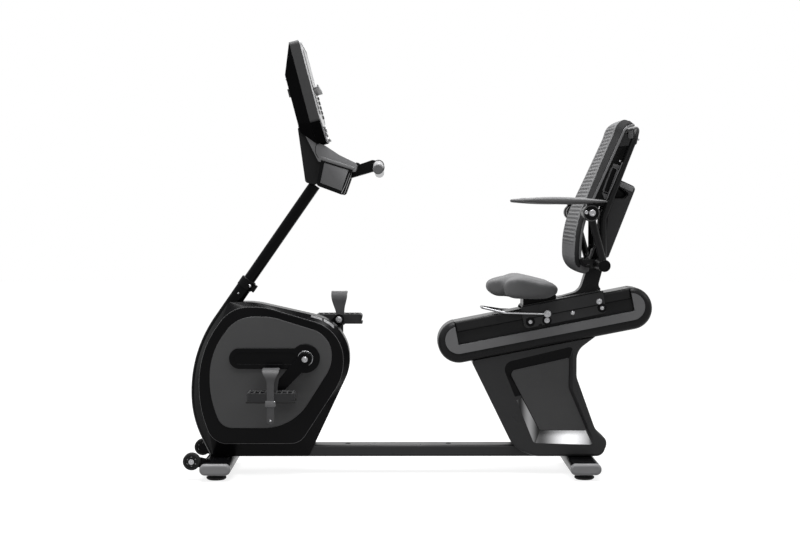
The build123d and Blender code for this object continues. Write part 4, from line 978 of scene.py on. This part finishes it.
def recess_details(side, word):
    pairs = slope_pairs()
    corner = CORNER_STEPS + STRAIGHT_STEPS    # pairs from one corner to the next
    split = CORNER_STEPS + 8    # where the painted-shade slope ends and the upright trim starts
    # a black strip over the recess's upper slopes, as painted shade
    dark = slope_strip(pairs[4 * corner + 2:] + pairs[:split], side, 0.0)
    new_piece("recess_shade_slope_" + word, "frame", BLACK, dark)
    upright = slope_strip(pairs[split:corner + 5], side, TRIM_BOW)
    new_piece("recess_side_trim_" + word, "frame", SIDE_TRIM, upright)
    lower = slope_strip(pairs[corner + 4:2 * corner + 4], side, TRIM_BOW)
    new_piece("recess_trim_" + word, "frame", TRIM, lower)


both(recess_details)


# Seat carriage: rollers' lobes, fold lines and bolts

RAIL_TILT = radians(11.0)
RAIL_PLACE = (425.5, 507.5)    # x and z of a point in the rail's middle
CARRIAGE_SIDE = 70.0


def rail_place(u, v, height):
    """A point along and square to the rail, at a distance across the machine."""
    x = RAIL_PLACE[0] + u * cos(RAIL_TILT) - v * sin(RAIL_TILT)
    z = RAIL_PLACE[1] + u * sin(RAIL_TILT) + v * cos(RAIL_TILT)
    return Vector((x, height, z))


def carriage_details(side, word):
    face = side * CARRIAGE_SIDE
    lobe = face + side * 2.2
    lobes = [turned([(0, 0), (15.5, 0), (15.5, 1.4), (14.5, 2.2), (0, 2.2)], (x, face, z), (0, side, 0), 40)
             for x, z in ((374, 520), (430, 525), (616, 567))]
    lobes.append(block(-62, 205, 33.0, 35.4, 1.0, face, face + side * 2.4, 0.7, rail_place))
    lobes.append(block(-64, 206, 76.0, 78.4, 1.0, face, face + side * 1.6, 0.5, rail_place))
    new_piece("carriage_lobes_" + word, "seat", BLACK, *lobes, slot="black_paint")
    new_piece("carriage_bolts_" + word, "seat", STEEL,
              side_bolt(374, lobe, 520, 4.5, 6.5), side_bolt(430, lobe, 525, 5.0, 9.0),
              side_bolt(517, face, 550, 4.5, 6.5), side_bolt(616, lobe, 567, 4.5, 6.5),
              side_bolt(606, side * 71.5, 589, 8.0, 9.5), side_bolt(430, side * 88.0, 548, 8.0, 11.0, 3.0))


both(carriage_details)


# Backrest: structure behind the shell, hub rings and bolts

SHELL_BACK = 33.6        # depth of the shell's back behind the curve
TUBE_LOW, TUBE_HIGH = (607, 872), (720, 1165)    # the back tube's middle in side view
TUBE_RADIUS = 10
FITTING_SIDE = 153.4     # distance of the tube's fittings from the middle


def tube_front(z):
    """X of the back tube's front side at a height."""
    slope = (TUBE_HIGH[0] - TUBE_LOW[0]) / (TUBE_HIGH[1] - TUBE_LOW[1])
    return TUBE_LOW[0] + (z - TUBE_LOW[1]) * slope - TUBE_RADIUS


def shell_web(y, width, high=1150, reach=1.0):
    """A rib between the shell's back and the tube."""
    points, normals, _ = open_curve(BACK_CURVE, 8.0)
    backs = [p + n * SHELL_BACK for p, n in zip(points, normals)]
    front = [p for p in backs if 905 <= p.y <= high]
    rear = [Vector((p.x + (tube_front(p.y) - p.x) * reach, p.y)) for p in reversed(front)]
    return slab(front + rear, y - width / 2, y + width / 2, 0.8)


def shell_webs():
    webs = []
    for side, _ in SIDES:
        webs += [shell_web(side * 150, 7), shell_web(side * 75, 5, 1170, 0.55)]
        for k in range(6):
            z = 1120 - 12 * k
            x = tube_front(z) - 16
            webs.append(plate(((x - 12, z - 6, 1.5), (x + 8, z + 2, 1.5), (x + 8, z + 6, 1.5),
                               (x - 12, z - 2, 1.5)), side * 153, side * 156, 0.6))
    new_piece("shell_webs", "seat", BLACK, *webs)


def back_details(side, word):
    inner, outer = side * FITTING_SIDE, side * 157
    loop = rounded(((605, 958, 9), (624, 950, 9), (655, 1034, 9), (636, 1042, 9)), 10)
    new_piece("back_hanger_" + word, "seat", GREY, band_loop(loop, 2.6, inner, outer),
              plate(((634, 1040, 2), (661, 1034, 2), (665, 1044, 2), (640, 1052, 2)),
                    inner, side * 157.5, 0.7),
              plate(((602, 956, 2), (612, 930, 2), (626, 950, 2), (614, 960, 2)), inner, outer, 0.7),
              block(687, 704, 1134, 1161, 4, side * 158.2, side * 164, 1.2))
    rod = tube_along([(669.3, side * 160.0, 1055.6), (643.0, side * 160.2, 993.8),
                      (616.6, side * 160.0, 932.0)], 2.0)
    new_piece("back_rod_" + word, "seat", PALE, rod)
    strut = tube_along([(574, side * 70, 728), (582, side * 70, 752), (592, side * 70, 780)], 3.6)
    new_piece("lumbar_strut_" + word, "seat", GREY, strut)
    band = plate(((659, 998, 3), (667, 976, 4), (709, 957, 4), (714, 974, 3)),
                 side * 119.4, side * 121.4, 0.8)
    new_piece("cover_band_" + word, "seat", PALE, band)
    # a thin black plate over the hand slot, as painted shade in the recess
    hand_slot_shade = plate(((652, 937, 6), (683, 937, 10), (696, 950, 8), (667, 976, 8), (652, 976, 6)),
                      side * 88.2, side * 89.4, 0.4)
    new_piece("hand_slot_shade_" + word, "seat", BLACK, hand_slot_shade)
    cap = turned([(0, 0), (20, 0), (20, 2.0), (18.6, 3.6), (16, 4.0), (15.4, 3.2), (14.6, 3.2), (14, 4.0),
                  (0, 4.6)], (603, side * 225, 715), (0, side, 0), 48)
    new_piece("cross_tube_cap_" + word, "seat", BLACK, cap)
    ring = ring_part((551, 888), side, 296, 22.6, 26.4, 1.5)
    new_piece("arm_hub_ring_" + word, "armrest_" + word, PANEL, ring)
    new_piece("arm_hub_screws_" + word, "armrest_" + word, STEEL,
              side_bolt(534, side * 296, 891, 6.4, height=5.5),
              side_bolt(553, side * 300.5, 889, 10.5, height=3.0))
    new_piece("back_bolts_" + word, "seat", STEEL, side_bolt(661, side * 153.5, 1060, 3.5, height=6.0),
              bolt((719.5, side * 150, 1132), (1, 0, -0.3), 3.6, 7.0, 0.45))


shell_webs()
both(back_details)


# Console: dark back, bezel, keys, ledge, port, and a dark chin as painted shade

CONSOLE_TILT = radians(14.7)
CONSOLE_FOOT = (-330, 1193)    # x and z of the middle of the face's lower edge
CONSOLE_ROWS = ((-110, -68, 14), (110, -68, 14), (200, 0, 14), (200, 272, 14), (-200, 272, 14), (-200, 0, 14))
BULGE_ROWS = ((-80, -16, 10), (80, -16, 10), (110, 10, 10), (110, 180, 10), (-110, 180, 10), (-110, 10, 10))
BULGE_BACK = -76.9       # height of the bulge's flat back
BULGE_MIDDLE = 82
SKIN_LIFT = 0.9          # how far the dark skins stand off the case
FACE = 2.8               # height of the face inside the bezel
KEY_PITCH, LOW_KEY_PITCH = 17, 22


def console_place(u, v, height):
    """A point of the console: across, up its face and out towards the rider."""
    return Vector((CONSOLE_FOOT[0] + height * cos(CONSOLE_TILT) - v * sin(CONSOLE_TILT), u,
                   CONSOLE_FOOT[1] + height * sin(CONSOLE_TILT) + v * cos(CONSOLE_TILT)))


def console_block(*sizes):
    """A block that stands on the console's face."""
    return block(*sizes, console_place)


def key(u, v, half, length, high):
    """A key, from the middle of its lower edge."""
    return console_block(u - half, u + half, v, v + length, 3, FACE, high, 1.0)


def console_back():
    """Thin dark skin over the faceted back."""
    rim, bulge = rounded(CONSOLE_ROWS, fixed=5), rounded(BULGE_ROWS, fixed=5)
    rings = [[console_place(*p, height) for p in inset(outline, distance)]
             for outline, distance, height in
             ((rim, -0.1, -33.2), (rim, -SKIN_LIFT, -33.2), (bulge, -SKIN_LIFT, BULGE_BACK))]
    rings.append([console_place(p.x / 2, (p.y + BULGE_MIDDLE) / 2, BULGE_BACK) for p in bulge])
    return skin(rings)


def console_chin_shade():
    """Thin dark skin over the edge below the face, as painted shade on this downward-facing edge."""
    centre = Vector((0, 60))
    chin = [p for p in rounded(CONSOLE_ROWS, fixed=5) if p.y < 1]
    chin.sort(key=lambda p: atan2(p.x, centre.y - p.y))
    rings = []
    for p in chin:
        out = (p - centre).normalized() * SKIN_LIFT
        rings.append([console_place(*(p + out * share), height) for share, height in
                      ((1, -0.6), (1, -16), (1, -32.6), (0.1, -32.6), (0.1, -16), (0.1, -0.6))])
    return skin(rings)


def console_details():
    new_piece("console_back_skin", "frame", MATT, console_back(), sharp=20)
    bezel = band_loop(inset(rounded(CONSOLE_ROWS), 3.4), 3.0, -0.5, 4.2, console_place)
    new_piece("console_bezel", "frame", LABEL, bezel)
    keys = []
    for side, _ in SIDES:
        for k in range(7):
            v = 22 + KEY_PITCH * k
            keys.append(key(side * 172, v, 9, 11, 6.4))
            if k < 4:
                keys.append(key(side * 146, v, 9, 11, 6.0))
    for k in range(-4, 5):
        keys += [key(LOW_KEY_PITCH * k, v, 8, 10, 6.2) for v in (-28, -46)]
    new_piece("console_keys", "frame", SATIN, *keys)
    new_piece("console_screen", "frame", SCREEN, console_block(-128, 128, 24, 246, 6, FACE + 0.1, 3.9, 0.5))
    new_piece("console_ledge", "frame", PALE, console_block(-160, 160, 106, 112, 2, FACE, 23.0, 1.5),
              console_block(-160, 160, 108, 118, 2, 18.5, 23.0, 1.5),
              console_block(-60, 60, -66, -60, 2, FACE, 13.0, 1.2))
    new_piece("console_chin_shade", "frame", MATT, console_chin_shade())
    new_piece("console_port", "frame", PANEL, console_block(-106, -88, 104, 132, 3, -82.0, -76.5, 1.0))
    out = console_place(0, 0, -80) - console_place(0, 0, -76)
    new_piece("console_screws", "frame", STEEL,
              *[bolt(console_place(u, v, -76.8), out, 4.5, 2.0)
                for u, v in ((-92, 4), (92, 4), (-96, 166), (96, 166))])


console_details()


# Neck, trays and handlebar

TRAY_ROWS = ((-347, 980, 13), (-252, 944, 13), (-220, 1038, 13), (-328, 1072, 13))
LINE_POINTS = ((-233.5, 1020), (-248, 980), (-261, 953))
SEAM_POINTS = ((-343, 1122), (-349, 1110), (-350.5, 1099), (-348, 1085), (-340, 1072))
COLLAR_ROWS = ((-226, 1018, 5), (-209, 1023, 5), (-200, 1055, 6), (-217, 1060, 6))


def neck_details(side, word):
    panel = slab(inset(rounded(TRAY_ROWS), 13.0), side * 149.6, side * 151.4, 1.0)
    new_piece("tray_panel_" + word, "frame", GREY, panel)
    new_piece("tray_lip_" + word, "frame", GREY,
              plate(((-331, 1064, 3), (-220, 1029, 3), (-217, 1039, 3), (-328, 1075, 3)),
                    side * 148, side * 153.5, 1.4),
              plate(((-332, 1066, 3), (-322, 1063, 3), (-318, 1072, 3), (-328, 1075, 3)),
                    side * 92, side * 150, 1.2))
    line = tube_along([(x, side * 151.2, z) for x, z in LINE_POINTS], 1.6)
    new_piece("tray_line_" + word, "frame", TRIM, line)
    seam = tube_along([(x, side * 88.2, z) for x, z in SEAM_POINTS], 0.9, 8)
    new_piece("neck_seam_" + word, "frame", BLACK, seam)


def grip_ring(side, word):
    """A dark ring where the hand grip starts; the bar falls by 17 mm over its last 188 mm."""
    points = [(-138, side * y, 1047 - (y - 130) * 17 / 188) for y in (150, 153, 156)]
    new_piece("grip_ring_" + word, "frame", BLACK, tube_along(points, 19.0, 40))


both(neck_details)
new_piece("bar_collar", "frame", BLACK, plate(COLLAR_ROWS, -39, 39, 3.0))
both(grip_ring)
